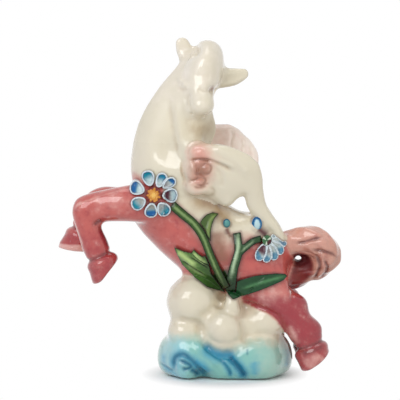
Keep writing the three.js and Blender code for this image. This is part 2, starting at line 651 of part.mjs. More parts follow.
const fork = (grow = 0) => join(
  stripe(FORKED_STEM, FORKED_STEM_HALF_WIDTHS, grow),
  stripe(FORK_BRANCH, FORK_BRANCH_HALF_WIDTHS, grow),
);
const daisyStem = (grow = 0) => stripe(DAISY_STEM, DAISY_STEM_HALF_WIDTHS, grow);
applied('daisy_stem', daisyStem(), STEM_HEIGHT, STEM_GREEN,
  ...daisyPetals.map((petal) => daisyPetal(petal, SEAM)));
applied('forked_stem', fork(), STEM_HEIGHT, STEM_GREEN, daisyStem(SEAM), calyx(SEAM), bud(SEAM), tipBud(SEAM),
  ...fanTilts.map((tilt) => fanPetal(tilt, SEAM)));
const stems = [daisyStem(SEAM), fork(SEAM)];
applied('hooked_leaf', leafOutline(HOOKED_LEAF), LEAF_HEIGHT, LEAF_GREEN, ...stems);
applied('serrated_leaf', leafOutline(SERRATED_LEAF), LEAF_HEIGHT, LEAF_GREEN, ...stems);
applied('long_leaf', leafOutline(LONG_LEAF), LEAF_HEIGHT, LEAF_GREEN, ...stems);

export default figurine;
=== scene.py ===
# %% [markdown]
# # A glazed porcelain winged horse
#
# The real figurine is slip-cast in pieces, luted together with slip, painted by hand and glazed. The CAD
# frame holds the castings as separate closed solids with a thin joint between them. This lesson fuses
# copies of those castings into one soft skin, models the fine forms into it, paints it through masks and
# cuts it back into one piece for each casting. Sizes of the figurine are written in millimetres, as in
# the CAD source, and turned into metres when a piece is made. The studio round it is written in metres. A
# spot in the side view is written as a pair: how far along the horse, and how high.

# %% Load the castings
import math

import bmesh
import bpy
import numpy as np
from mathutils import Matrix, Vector
from mathutils.bvhtree import BVHTree
from mathutils.kdtree import KDTree


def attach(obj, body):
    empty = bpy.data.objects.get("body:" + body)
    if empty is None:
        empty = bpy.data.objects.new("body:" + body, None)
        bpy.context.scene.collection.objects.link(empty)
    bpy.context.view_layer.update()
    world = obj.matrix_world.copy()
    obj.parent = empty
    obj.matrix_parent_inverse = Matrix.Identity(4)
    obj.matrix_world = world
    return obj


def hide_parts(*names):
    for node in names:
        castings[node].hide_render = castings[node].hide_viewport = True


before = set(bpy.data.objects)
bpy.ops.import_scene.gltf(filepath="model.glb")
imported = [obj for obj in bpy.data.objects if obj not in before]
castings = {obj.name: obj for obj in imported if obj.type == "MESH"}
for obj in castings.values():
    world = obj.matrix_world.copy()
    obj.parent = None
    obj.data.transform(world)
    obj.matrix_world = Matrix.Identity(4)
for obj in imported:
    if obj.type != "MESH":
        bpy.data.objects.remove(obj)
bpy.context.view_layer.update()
MM = 0.001

# %% [markdown]
# ## Camera
#
# The photograph is taken from the horse's left, a little above level, with a long lens. The view could be
# set by eye. Here it is worked out, so that the picture keeps the scale of the CAD: one pixel of the
# 400-pixel frame is 0.464 mm at the middle of the figurine, and the lens follows from that.

# %% Camera
PIXEL_MM = 0.4638
FRAME_PIXELS = 400
CAMERA_DISTANCE = 1.7
CAMERA_RISE = math.radians(7)
CLIP_RANGE = (0.05, 20)
LOOK_AT = Vector((-11.6, 0, 81.8)) * MM
scene = bpy.context.scene


def set_up(holder, spot):
    """Puts a camera or a lamp into the studio, turned to the figurine."""
    scene.collection.objects.link(holder)
    holder.location = spot
    holder.rotation_mode = "QUATERNION"
    holder.rotation_quaternion = (LOOK_AT - spot).to_track_quat("-Z", "Y")


lens = bpy.data.cameras.new("studio_camera")
lens.lens = lens.sensor_width * CAMERA_DISTANCE / (FRAME_PIXELS * PIXEL_MM * MM)
lens.clip_start, lens.clip_end = CLIP_RANGE
camera = bpy.data.objects.new("studio_camera", lens)
towards_camera = Vector((0, -math.cos(CAMERA_RISE), math.sin(CAMERA_RISE)))
set_up(camera, LOOK_AT + towards_camera * CAMERA_DISTANCE)
scene.camera = camera
scene.view_settings.view_transform = "Standard"
print("lens in mm:", round(lens.lens))

# %% [markdown]
# ## Colours and nodes
#
# A painter's colour chart is written in sRGB, but a shader works in linear light, so one function turns
# the hex codes round. Materials could be clicked together in the node editor: a second function adds one
# node with its values and links, which keeps every material below readable as text.

# %% Colours and nodes
def linear(code):
    """An sRGB hex colour as linear RGBA."""
    parts = [int(code[i:i + 2], 16) / 255 for i in (1, 3, 5)]
    return [c / 12.92 if c <= 0.04045 else ((c + 0.055) / 1.055) ** 2.4 for c in parts] + [1.0]


def add(tree, kind, values=None, links=None, **settings):
    """Adds one node with its settings, its socket values and the links into it."""
    made = tree.nodes.new(kind)
    for key, value in settings.items():
        setattr(made, key, value)
    for key, value in (values or {}).items():
        made.inputs[key].default_value = value
    for key, source in (links or {}).items():
        tree.links.new(source, made.inputs[key])
    return made


def empty_material(name):
    """A material with nothing but its output node."""
    made = bpy.data.materials.new(name)
    made.use_nodes = True
    made.node_tree.nodes.clear()
    return made, made.node_tree, made.node_tree.nodes.new("ShaderNodeOutputMaterial")


def seen_rays(tree):
    """1 on what is looked at, straight or in a reflection, and 0 on light that falls on the figurine."""
    path = add(tree, "ShaderNodeLightPath")
    seen = path.outputs["Is Camera Ray"]
    for kind in ("Is Glossy Ray", "Is Transmission Ray"):
        either = add(tree, "ShaderNodeMath", operation="MAXIMUM", links={0: seen, 1: path.outputs[kind]})
        seen = either.outputs[0]
    return seen


print("middle grey in linear light:", round(linear("#808080")[0], 3))

# %% [markdown]
# ## Paper floor
#
# The figurine stands on a sheet of white paper that bends up behind it, so no horizon shows. The bend
# could be modelled. A flat floor is enough here: outside a small oval its material turns to plain white,
# and only the soft shadow beside the base is left.

# %% Floor
FLOOR_HALF = 3
PAPER_LIFT = 0.03
SHADOW_REACH = (0.030, 0.032, 1)
PLAIN_FROM, PLAIN_TO = 0.85, 1.3
sheet = bmesh.new()
bmesh.ops.create_grid(sheet, x_segments=1, y_segments=1, size=FLOOR_HALF)
floor = bpy.data.objects.new("studio_floor", bpy.data.meshes.new("studio_floor"))
sheet.to_mesh(floor.data)
sheet.free()
scene.collection.objects.link(floor)

# Matt white paper: near the figurine the camera sees the lit paper, lifted to white where no shadow falls,
# and further out plain white, so that the sheet has no edge.
paper, tree, output = empty_material("matt_white_paper")
seen = seen_rays(tree)
spot = add(tree, "ShaderNodeTexCoord")
scaled = add(tree, "ShaderNodeVectorMath", operation="DIVIDE", values={1: SHADOW_REACH},
             links={0: spot.outputs["Object"]})
reach = add(tree, "ShaderNodeVectorMath", operation="LENGTH", links={0: scaled.outputs[0]})
plain = add(tree, "ShaderNodeMapRange", values={"From Min": PLAIN_FROM, "From Max": PLAIN_TO},
            links={"Value": reach.outputs["Value"]})
share = add(tree, "ShaderNodeMath", operation="MULTIPLY", links={0: seen, 1: plain.outputs[0]})
lift = add(tree, "ShaderNodeMath", operation="MULTIPLY", values={1: PAPER_LIFT}, links={0: seen})
matt = add(tree, "ShaderNodeBsdfDiffuse", values={"Color": linear("#F4F4F4")})
glow = add(tree, "ShaderNodeEmission", links={"Strength": lift.outputs[0]})
lit = add(tree, "ShaderNodeAddShader", links={0: matt.outputs[0], 1: glow.outputs[0]})
white = add(tree, "ShaderNodeEmission", values={"Strength": 1.0})
mixed = add(tree, "ShaderNodeMixShader",
            links={0: share.outputs[0], 1: lit.outputs[0], 2: white.outputs[0]})
tree.links.new(mixed.outputs[0], output.inputs["Surface"])
floor.data.materials.append(paper)
print("floor width in m:", 2 * FLOOR_HALF)

# %% [markdown]
# ## Room and lamps
#
# A glaze mirrors its room, so the lamps show as highlights. A window at the upper left and a softbox
# above are mirrored. A fill at the right and a bluish window at the left only lighten the shadows, so the
# glaze doesn't mirror them. A photographed room would light it too, but four lamps can be moved one by
# one. The room itself is white to the camera and in reflections, and dimmer as a light.

# %% Lamps
ROOM_LIGHT = 0.27
LAMPS = {
    "key_window": ((-0.55, -0.80, 0.72), (0.76, 0.76), 6.7, "#FFFFFF", True),
    "fill_softbox": ((0.80, -0.70, 0.40), (0.60, 0.80), 3.75, "#FFFFFF", False),
    "top_softbox": ((0.05, 0.10, 0.95), (0.50, 0.50), 1.2, "#FFFFFF", True),
    "blue_side_window": ((-0.90, -0.30, 0.25), (0.35, 0.60), 1.3, "#B0C4FF", False),
}
room = bpy.data.worlds.new("studio_sky")
scene.world = room
room.use_nodes = True
tree = room.node_tree
tree.nodes.clear()
strength = add(tree, "ShaderNodeMapRange", values={"To Min": ROOM_LIGHT, "To Max": 1.0},
               links={"Value": seen_rays(tree)})
sky = add(tree, "ShaderNodeBackground", values={"Color": linear("#FFFFFF")},
          links={"Strength": strength.outputs[0]})
add(tree, "ShaderNodeOutputWorld", links={"Surface": sky.outputs[0]})
for name, (spot, size, power, tint, mirrored) in LAMPS.items():
    lamp = bpy.data.lights.new(name, "AREA")
    lamp.shape = "RECTANGLE"
    lamp.size, lamp.size_y = size
    lamp.energy = power
    lamp.color = linear(tint)[:3]
    holder = bpy.data.objects.new(name, lamp)
    holder.visible_glossy = mirrored
    set_up(holder, Vector(spot))
print("lamps:", list(LAMPS))

# %% [markdown]
# ## Clay: a mesh held as arrays
#
# A modeller pushes and smooths clay by hand, and Blender's sculpt brushes do the same with a mouse. A
# script has no hand, and moving a quarter of a million points one by one is slow, so a mesh is wrapped as
# arrays. Relaxing pulls each point towards its neighbours, which melts facets, or spreads a mask softly.

# %% Clay
class Clay:
    """A mesh in millimetres whose points and normals are arrays."""

    def __init__(self, mesh):
        self.mesh = mesh
        self.count = len(mesh.vertices)
        self.edges = self.read(mesh.edges, "vertices", 2, np.int32).astype(np.int64)
        self.degree = np.maximum(np.bincount(self.edges.ravel(), minlength=self.count), 1).astype(float)
        self.refresh()

    @staticmethod
    def read(source, name, width, kind=np.float32):
        """One property of all points, edges or corners, as rows."""
        flat = np.empty(len(source) * width, kind)
        source.foreach_get(name, flat)
        return flat.reshape(-1, width)

    def refresh(self, place=None):
        """Takes new places for the points, if given, and reads places and normals again."""
        if place is not None:
            self.mesh.vertices.foreach_set("co", place.astype(np.float32).ravel())
            self.mesh.update()
        self.place = self.read(self.mesh.vertices, "co", 3).astype(float)
        self.facing = self.read(self.mesh.vertex_normals, "vector", 3).astype(float)
        self.x, self.y, self.z = self.place.T
        self.flat = self.place[:, [0, 2]]

    def mean(self, values):
        """The mean of each point's neighbours."""
        a, b = self.edges.T
        total = [np.bincount(a, column[b], self.count) + np.bincount(b, column[a], self.count)
                 for column in values.reshape(self.count, -1).T]
        return (np.stack(total, 1) / self.degree[:, None]).reshape(values.shape)

    def relax(self, values, rounds, weight=1.0):
        """Draws each point's values halfway to its neighbours' mean, several times."""
        weight = np.broadcast_to(np.asarray(weight, float), (self.count,))
        weight = weight[:, None] if values.ndim == 2 else weight
        for _ in range(rounds):
            values = values + 0.5 * weight * (self.mean(values) - values)
        return values

    def push(self, amount):
        """Moves each point out along its normal by so many millimetres."""
        self.refresh(self.place + self.facing * amount[:, None])


print("clay can:", [n for n in vars(Clay) if not n.startswith("_")])

# %% [markdown]
# ## Ramps, lines and dabs
#
# A maker's tool leaves a line, a thumb leaves a round dab, and both fade at their edges. Textures could
# carry such marks, but then they would only be painted. These functions say how strongly a mark touches
# each point, so the same mark can press the clay in and carry colour.

# %% Marks
def ramp(value, start, end):
    """A smooth step from 0 at start to 1 at end, which may lie below start."""
    share = np.clip((value - start) / (end - start), 0, 1)
    return share * share * (3 - 2 * share)


def curve(points, step=0.3):
    """A smooth line through points, sampled about every step millimetres."""
    points = np.array(points, float)
    padded = np.vstack([2 * points[0] - points[1], points, 2 * points[-1] - points[-2]])
    rows = []
    for a, b, c, d in zip(padded, padded[1:], padded[2:], padded[3:]):
        t = np.linspace(0, 1, max(2, int(np.linalg.norm(c - b) / step)), endpoint=False)[:, None]
        rows.append(0.5 * (2 * b + (c - a) * t + (2 * a - 5 * b + 4 * c - d) * t ** 2
                           + (3 * b - a - 3 * c + d) * t ** 3))
    return np.vstack(rows + [points[-1:]])


def nearest(line, spots):
    """For each spot, its distance to a sampled line and how far along the line that is, from 0 to 1."""
    best, where = np.full(len(spots), np.inf), np.zeros(len(spots))
    for i, sample in enumerate(line):
        gap = ((spots - sample) ** 2).sum(1)
        closer = gap < best
        best[closer], where[closer] = gap[closer], i / max(len(line) - 1, 1)
    return np.sqrt(best), where


def stroke(clay, points, width, chosen, taper=0.15):
    """How much of a stroke, drawn in the side view, touches each chosen point, from 0 to 1."""
    line = curve(points)
    low, high = line.min(0) - 3 * width, line.max(0) + 3 * width
    within = (clay.flat > low).all(1) & (clay.flat < high).all(1)
    picked = np.nonzero((chosen > 0) & within)[0]
    gap, along = nearest(line, clay.flat[picked])
    ends = np.clip(np.minimum(along, 1 - along) / taper, 0, 1) if taper else 1.0
    touch = np.zeros(clay.count)
    touch[picked] = np.exp(-(gap / width) ** 2) * (0.25 + 0.75 * ends) * chosen[picked]
    return touch


def dab(clay, spot, radius, chosen):
    """A soft round or oval influence in the side view, from 0 to 1."""
    off = (clay.flat - np.array(spot, float)) / radius
    return np.exp(-(off ** 2).sum(1)) * chosen


def swell(clay, centre, radius, chosen=1):
    """A soft round influence about a point in space, from 0 to 1."""
    gap = ((clay.place - np.array(centre, float)) ** 2).sum(1)
    return np.exp(-gap / radius ** 2) * chosen


def strongest(*masks):
    """The strongest of several masks at each point."""
    return np.maximum.reduce(masks)


print("a ramp from 0 to 4, at 1, 2 and 3:", [round(float(ramp(v, 0, 4)), 2) for v in (1, 2, 3)])

# %% [markdown]
# ## One skin over all the castings
#
# Glaze fills the slip joints, so no gap shows on the real figurine. A boolean union would leave sharp
# seams. Instead the copies are joined, remeshed as voxels, swollen, remeshed and drawn back: that closes
# the joints. The drain hole is plugged first, so the hollow inside becomes a shell of its own that can be
# dropped.

# %% Copies and remeshing
SKIN = ["wave_base", "cloud", "trunk", "neck", "head", "mane", "right_ear", "left_ear", "left_foreleg",
        "right_foreleg", "left_hind_leg", "right_hind_leg", "tail", "left_wing", "right_wing"]


def cast_copy(name):
    """A merged copy of one casting, in millimetres."""
    copy = bmesh.new()
    copy.from_mesh(castings[name].data)
    bmesh.ops.scale(copy, vec=(1 / MM,) * 3, verts=copy.verts)
    bmesh.ops.remove_doubles(copy, verts=copy.verts, dist=1e-4)
    return copy


def joined(names):
    """Copies of several castings in one bmesh, and how many faces each has."""
    together, counts = bmesh.new(), []
    for name in names:
        single = cast_copy(name)
        counts.append(len(single.faces))
        scratch = bpy.data.meshes.new("scratch")
        single.to_mesh(scratch)
        together.from_mesh(scratch)
        single.free()
        bpy.data.meshes.remove(scratch)
    return together, counts


def reworked(source, *steps):
    """The mesh of a bmesh after a row of voxel remeshes and displacements."""
    holder = bpy.data.objects.new("clay", bpy.data.meshes.new("clay"))
    source.to_mesh(holder.data)
    holder.data.materials.clear()
    scene.collection.objects.link(holder)
    for kind, size in steps:
        step = holder.modifiers.new(kind.lower(), kind)
        if kind == "REMESH":
            step.mode, step.voxel_size = "VOXEL", size
        else:
            step.strength, step.mid_level = size, 0
    mesh = bpy.data.meshes.new_from_object(holder.evaluated_get(bpy.context.evaluated_depsgraph_get()))
    bpy.data.objects.remove(holder)
    return mesh


def outer_shell(mesh):
    """The shell that holds the highest point, as a mesh."""
    shells = bmesh.new()
    shells.from_mesh(mesh)
    top = max(shells.verts, key=lambda v: v.co.z)
    outer, front = {top}, [top]
    while front:
        vert = front.pop()
        for edge in vert.link_edges:
            other = edge.other_vert(vert)
            if other not in outer:
                outer.add(other)
                front.append(other)
    bmesh.ops.delete(shells, geom=[v for v in shells.verts if v not in outer], context="VERTS")
    shell = bpy.data.meshes.new("shell")
    shells.to_mesh(shell)
    shells.free()
    return shell


casts, face_counts = joined(SKIN)
print("castings in the skin:", len(SKIN), "faces:", sum(face_counts))

# %% Close the joints
PLUG_AT, PLUG_RADIUS, PLUG_LENGTH, PLUG_SIDES = Vector((14, 0, 4.5)), 4.6, 4, 24
COARSE_VOXEL = 0.6
CLOSING = 0.7
cast_tree = BVHTree.FromBMesh(casts)
cast_of_face = np.repeat(np.arange(len(SKIN)), face_counts)
plug = bmesh.ops.create_cone(casts, cap_ends=True, segments=PLUG_SIDES, radius1=PLUG_RADIUS,
                             radius2=PLUG_RADIUS, depth=PLUG_LENGTH)
bmesh.ops.translate(casts, vec=PLUG_AT, verts=plug["verts"])
closed = reworked(casts, ("REMESH", COARSE_VOXEL), ("DISPLACE", CLOSING),
                  ("REMESH", COARSE_VOXEL), ("DISPLACE", -CLOSING))
casts.free()
rough = outer_shell(closed)
print("rough skin points:", len(rough.vertices))

# %% [markdown]
# ## Melt the facets, then refine
#
# Glaze softens every edge. Smooth shading alone would hide the facets but keep their outline, so the
# rough skin is relaxed: most on the body, the neck and the wave, less on the legs and the cloud, and least
# on the ears, which would shrink. A second, finer remesh then gives enough points for tool marks.

# %% Owners and the soft body
LEGS = ("left_foreleg", "right_foreleg", "left_hind_leg", "right_hind_leg")
SOFTNESS = [(("right_ear", "left_ear"), 0.15), (("left_wing", "right_wing"), 0.5), (("tail",), 0.35),
            (("head",), 0.6), (("mane",), 0.8), (("cloud",), 0.45), (LEGS, 0.5)]
BODY_SOFTNESS = 0.5
CHEEK_SPOTS = [(-20, -8, 138), (-20, -10, 128), (-10, -12, 115), (-14, -12, 110)]
CHEEK_RADIUS = 8
MELT_ROUNDS, BODY_ROUNDS, CHEEK_ROUNDS, SPREAD_ROUNDS = 50, 70, 160, 8


def owners_of(clay):
    """The number in SKIN of the casting that each point lies nearest to."""
    return np.array([cast_of_face[cast_tree.find_nearest(p)[2]] for p in clay.place])


def on(*names):
    """True on the skin's points that belong to these castings."""
    return np.isin(owners, [SKIN.index(n) for n in names])


clay = Clay(rough)
owners = owners_of(clay)
softness = np.ones(clay.count)
for names, amount in SOFTNESS:
    softness[on(*names)] = amount
place = clay.relax(clay.place, MELT_ROUNDS, clay.relax(softness, SPREAD_ROUNDS))
body = np.where(on("trunk", "neck", "wave_base"), BODY_SOFTNESS, 0.0)
place = clay.relax(place, BODY_ROUNDS, clay.relax(body, SPREAD_ROUNDS))
cheek = np.clip(sum(swell(clay, spot, CHEEK_RADIUS) for spot in CHEEK_SPOTS), 0, 1)
clay.refresh(clay.relax(place, CHEEK_ROUNDS, cheek))
print("points of the cheeks:", int((cheek > 0.5).sum()))

# %% Fine skin
FINE_VOXEL = 0.42
FINE_ROUNDS = 6
melted = bmesh.new()
melted.from_mesh(rough)
fine = reworked(melted, ("REMESH", FINE_VOXEL))
melted.free()
clay = Clay(fine)
clay.refresh(clay.relax(clay.place, FINE_ROUNDS))
owners = owners_of(clay)
print("fine skin points:", clay.count, {n: int((owners == i).sum()) for i, n in enumerate(SKIN)})

# %% [markdown]
# ## Nudge the proportions
#
# A caster corrects the soft clay with a thumb before the fine work. A lattice could do it, but its cells
# cross several castings. Each nudge here drags the points of chosen castings by a few millimetres, most
# at its centre and softly less away from it. The forehead rises, the mane fills out beside the throat,
# the thigh draws in above the hock and the far hind leg hides behind the near one.

# %% Nudges
THIGHS = ("left_hind_leg", "right_hind_leg", "trunk")
NUDGES = [
    (("head",), (-8, -8, 153), (8, 15, 7), (0, 0, 1.7)),
    (("right_ear",), (-20.5, -3, 154), (8, 14, 8), (-1.6, 0, 0.8)),
    (("left_ear",), (6, -6, 140), (6, 14, 6), (0.9, 0, 0)),
    (("neck", "mane"), (-6, -6, 115), (7, 16, 7.5), (3.7, 0, 0)),
    (("right_wing",), (14, 10, 112), (10, 20, 7), (-4, 0, 0)),
    (("left_wing",), (12.6, -12, 81), (4, 14, 5), (-1.7, 0, 0)),
    (("left_wing",), (9.5, -12, 84.5), (3.5, 14, 3), (0, 0, 1.1)),
    (("left_wing",), (0.5, -11, 82.5), (4, 14, 3), (0, 0, -1.5)),
    (("right_wing",), (25, 8, 76), (10, 20, 15), (-3.4, 0, 0)),
    (THIGHS, (36, 0, 43), (6, 60, 5), (-4, 0, 0)),
    (THIGHS, (35, 0, 50), (6, 60, 6), (-1.8, 0, 0)),
    (("right_hind_leg",), (38, 13, 18), (40, 60, 26), (-1.6, 0, 0)),
    (("tail",), (31, 2, 44), (5, 30, 5), (-1, 0, -1.6)),
    (("tail",), (48, 0, 46.5), (7, 30, 6), (-1.7, 0, 1.4)),
    (("tail",), (41, 0, 42.5), (4, 30, 4), (0, 0, 1.6)),
    (("tail",), (40, 0, 70), (8, 30, 5), (0, 0, 0.8)),
    (("wave_base",), (-10, -19, 1.5), (4.5, 8, 3.5), (0, 4, 1.0)),
    (("neck", "trunk"), (-27, -18, 107), (6, 14, 5.5), (0, 1.45, 0)),
    (("neck", "trunk"), (-20, -18, 96.5), (6, 14, 5), (0, -1.6, 0)),
    (("head",), (-8.5, -14, 148), (9, 10, 6), (0, -3.0, 1.0)),
    (("neck", "mane", "head"), (-20.5, -12, 128), (4.5, 14, 11), (0, -1.5, 0)),
    (("left_foreleg",), (-57, -13, 44), (6, 20, 6), (0, 0, -1.2)),
]
NUDGE_ROUNDS = 6
drag = np.zeros_like(clay.place)
for names, centre, radii, shift in NUDGES:
    off = (clay.place - np.array(centre, float)) / np.array(radii, float)
    pull = np.exp(-(off ** 2).sum(1)) * clay.relax(on(*names).astype(float), NUDGE_ROUNDS)
    drag += pull[:, None] * np.array(shift, float)
clay.refresh(clay.place + drag)
print("farthest nudge in mm:", round(float(np.linalg.norm(drag, axis=1).max()), 1))

# %% [markdown]
# ## Tool marks and brush strokes
#
# A modeller draws the same line twice: once with a tool that presses the clay and once with a brush.
# Marks are kept in tables of a line, a width and a strength. Tool marks add up, and brush strokes cover
# each other. A mark touches only the side of the figurine that it is drawn on.

# %% Tools and brushes
SIDE_LIMIT = 0.2
near = clay.facing[:, 1] < SIDE_LIMIT
far = clay.facing[:, 1] > -SIDE_LIMIT


def drawn(marks, chosen, turned):
    """Each mark's touch times its strength; turned is -1 for the far side."""
    for line, width, strength in marks:
        yield strength * stroke(clay, [(turned * px, pz) for px, pz in line], width, chosen)


def tooled(marks, chosen, turned=1):
    """The sum of tool marks in millimetres, below zero for a groove."""
    return sum(drawn(marks, chosen, turned), np.zeros(clay.count))


def brushed(marks, chosen, turned=1):
    """The strongest of several brush strokes at each point."""
    return strongest(*drawn(marks, chosen, turned))


def retraced(marks, spread, strength):
    """The same lines drawn again with a wider or narrower brush."""
    return [(line, spread * width, strength) for line, width, _ in marks]


print("points of the near side:", int(near.sum()))

# %% [markdown]
# ## Cloud and wave
#
# The cloud is four soft puffs pressed together, so creases run between them. The wave below is modelled
# with a wooden tool: a scroll at the left, a hollow under the cloud and two slanting furrows with a ridge
# between. A bump map would leave their outline flat, so the clay itself is moved. The back is not seen in
# the photograph: the same marks, turned about, go round it.

# %% Cloud creases
CREASES = [
    ([(-5.6, 45.1), (-2.8, 39.5), (-3.2, 35.7), (-6, 32.5), (-9.3, 30.6), (-11.6, 27.8)], 2.6, -1.6),
    ([(-0.5, 38.5), (-1.9, 35.7), (-2.8, 33.4)], 1.8, -1.0),
    ([(7, 39), (8.3, 34.8), (8.8, 31.5), (7.4, 28.7)], 2.0, -1.3),
    ([(-1.9, 34.3), (1.4, 32), (5.1, 30.6), (7.4, 28.7)], 1.6, -0.8),
    ([(7.4, 28.7), (8.8, 25), (9.3, 20.8), (8.3, 17)], 2.2, -1.5),
    ([(-21.8, 28.7), (-17.6, 27.3), (-13.9, 26.9), (-11.6, 24.5), (-11.1, 20.8)], 2.2, -1.3),
    ([(-11.1, 19.8), (-7.9, 16.6), (-3.2, 14.2), (1.4, 13.8), (7, 16.1)], 2.0, -1.5),
    ([(9.7, 19.4), (15.3, 20.8), (21.8, 21.2), (29.2, 19.8)], 2.2, -0.7),
]
PUFFS = [((-17.6, -15, 36.2), 9, 1.0), ((-2.3, -19, 24), 8, 1.8), ((18.6, -16, 26.9), 8, 1.2),
         ((2.8, -15, 37.1), 4, 1.2)]
SIDE_FADE = (4, 11)
CREASE_ROUNDS = 8
base = on("wave_base", "cloud")
SIDES = ((base * near * ramp(-clay.y, *SIDE_FADE), 1), (base * far * ramp(clay.y, *SIDE_FADE), -1))


def both_sides(marks, swells, limit=1):
    """Tool marks and swells on the front of the base and, turned about, on its back."""
    relief = np.zeros(clay.count)
    for side, turned in SIDES:
        relief += tooled(marks, side * limit, turned)
        for centre, radius, height in swells:
            relief += height * swell(clay, np.array(centre) * (turned, turned, 1), radius, side)
    return relief


relief = both_sides(CREASES, PUFFS)
clay.push(clay.relax(relief, CREASE_ROUNDS))
print("cloud relief in mm:", round(float(relief.min()), 2), round(float(relief.max()), 2))

# %% Wave forms
SCROLL = [(-23.2, 3.9), (-23.7, 8.5), (-22.3, 11.3), (-19.5, 12.3), (-16.2, 10.4), (-13.5, 7.6),
          (-10.7, 3.9), (-8.8, 1.1)]
SCROLL_EYE = [(-21.8, 9.5), (-18.6, 9), (-15.8, 7.1), (-18.1, 5.7), (-20.4, 6.7)]
SCROLL_FOOT = [(-16.2, 5.7), (-13.9, 4.3), (-12.1, 2)]
SCROLL_TAIL = [(-30.1, 6.7), (-26.9, 5.3), (-23.7, 3.9)]
HOLLOW = [(-10.2, 17.2), (-7, 14), (-3.2, 12), (1.4, 12), (4.6, 13.6)]
THIN_FURROW = [(-3.2, 11.3), (-0.5, 8.5), (1.9, 4.8), (2.8, 2)]
BROAD_FURROW = [(0.9, 12.3), (4.6, 8.5), (7.4, 4.8), (9.7, 1.1)]
RIDGE = [(-13.5, 17.9), (-10.2, 14.6), (-6, 11.3), (-3.2, 6.7)]
THIN_RIDGE = [(-0.9, 10.4), (2.8, 6.7), (5.1, 2.5)]
WAVE_MARKS = [(SCROLL, 1.3, -1.5), (SCROLL_EYE, 0.9, -1.0), (SCROLL_FOOT, 1.3, -1.2),
              (SCROLL_TAIL, 0.7, -0.5), (HOLLOW, 1.8, -1.8), (THIN_FURROW, 0.9, -1.0),
              (BROAD_FURROW, 1.5, -1.6), (RIDGE, 1.6, 1.0), (THIN_RIDGE, 0.9, 0.6)]
WAVE_SWELLS = [((22.7, -19, 10.4), 10, 1.3), ((-24.6, -17, 14.1), 8, 1.2), ((-18.6, -20, 2.5), 5, 0.6)]
WAVE_TOP = 22
FOOT_FADE = (0.0, 1.5)
WAVE_ROUNDS = 2
relief = both_sides(WAVE_MARKS, WAVE_SWELLS, clay.z < WAVE_TOP) * ramp(clay.z, *FOOT_FADE)
clay.push(clay.relax(relief, WAVE_ROUNDS))
print("wave relief in mm:", round(float(relief.min()), 2), round(float(relief.max()), 2))

# %% [markdown]
# ## Wings
#
# Soft curls of down roll up along the leading edge, the coverts end in one long crease, and the long
# feathers below it are smooth. Separate curls could be stuck on, but under the glaze they flow into the
# wing, so they are pressed into the skin. The far wing shows its long feathers from inside, parted by
# upright furrows.

# %% Feathers
CURL_MARKS = [
    ([(-16.6, 104.4), (-17, 107), (-14.8, 109.4), (-11.6, 110)], 0.8, -0.5),
    ([(-14.4, 106), (-12.2, 107.2), (-10, 106.4), (-10.6, 105)], 0.6, -0.5),
    ([(-16, 102.2), (-13, 102.8), (-9.6, 102.6), (-6.6, 101.6)], 0.8, -1.2),
    ([(-13.9, 101.4), (-12.6, 98.4), (-12.9, 96.1), (-10.9, 95.1)], 0.6, -1.0),
    ([(-10.9, 100.1), (-8.6, 100.8), (-6.6, 99.4), (-7.3, 96.7), (-9.6, 95.4)], 0.6, -0.9),
    ([(-16.9, 92.4), (-14.2, 93.4), (-10.9, 94.4), (-9.1, 93.1), (-10.2, 90.8), (-12.6, 91.1),
      (-13.6, 92.1)], 0.6, -1.0),
    ([(-14.6, 90.4), (-12.2, 89.7), (-9.6, 90.4), (-7.6, 92.1)], 0.6, -0.8),
    ([(-7.3, 90.1), (-5.3, 88.1), (-5.6, 86.1), (-8, 85.2), (-11, 86.6)], 0.9, -0.4),
]
LOWER_CURLS = CURL_MARKS[2:]
COVERT_CREASE = ([(-10.2, 102.9), (-6, 102), (-1.4, 100.1), (2.8, 97.8)], 0.9, -0.9)
COVERT_MARKS = [
    COVERT_CREASE,
    ([(-6, 101.1), (-2.8, 97.3), (-1.4, 93.1), (-2.3, 89.4)], 1.6, -0.5),
    ([(-8, 104.6), (-3.4, 103), (1.4, 101.2), (5, 98.8)], 1.2, 0.5),
    ([(-6.5, 108.6), (-2.4, 107.4), (1.4, 105.4), (5, 102.8), (9, 99), (11.5, 95)], 2.4, 1.1),
]
CURL_DABS = [((-12.5, 107.2), 3.6, 1.2), ((-9, 107.5), 2.6, 0.6), ((-14.6, 99), 2.0, 0.9),
             ((-9, 98), 1.8, 0.9), ((-15.2, 95.2), 1.9, 0.9), ((-11.6, 92.6), 1.3, 0.8),
             ((-8.8, 87.8), 2.4, 0.9), ((-11.2, 97.6), 1.0, 0.4)]
FAR_FURROWS = [([(2.3, 113), (3.7, 110.8), (2.8, 107), (3.2, 103)], 0.8, -0.5),
               ([(7.4, 109), (8.3, 106.1), (7, 101)], 0.8, -0.5),
               ([(11.1, 106), (12, 101.4), (12.5, 96)], 0.8, -0.4)]
FAR_CURL_DEPTH = 0.8
LOWER_EDGE_AT, LOWER_EDGE_RADIUS, LOWER_EDGE_SWELL = (2, -11, 82), 4, 1.2
left_wing, right_wing = on("left_wing"), on("right_wing")
near_wing = left_wing & near
relief = tooled(CURL_MARKS + COVERT_MARKS, near_wing) + tooled(FAR_FURROWS, right_wing & near)
relief += FAR_CURL_DEPTH * tooled(LOWER_CURLS, right_wing & far)
for spot, radius, height in CURL_DABS:
    relief += height * dab(clay, spot, radius, near_wing)
relief += LOWER_EDGE_SWELL * swell(clay, LOWER_EDGE_AT, LOWER_EDGE_RADIUS, left_wing)
clay.push(clay.relax(relief, 1))
print("feather relief in mm:", round(float(relief.min()), 2), round(float(relief.max()), 2))

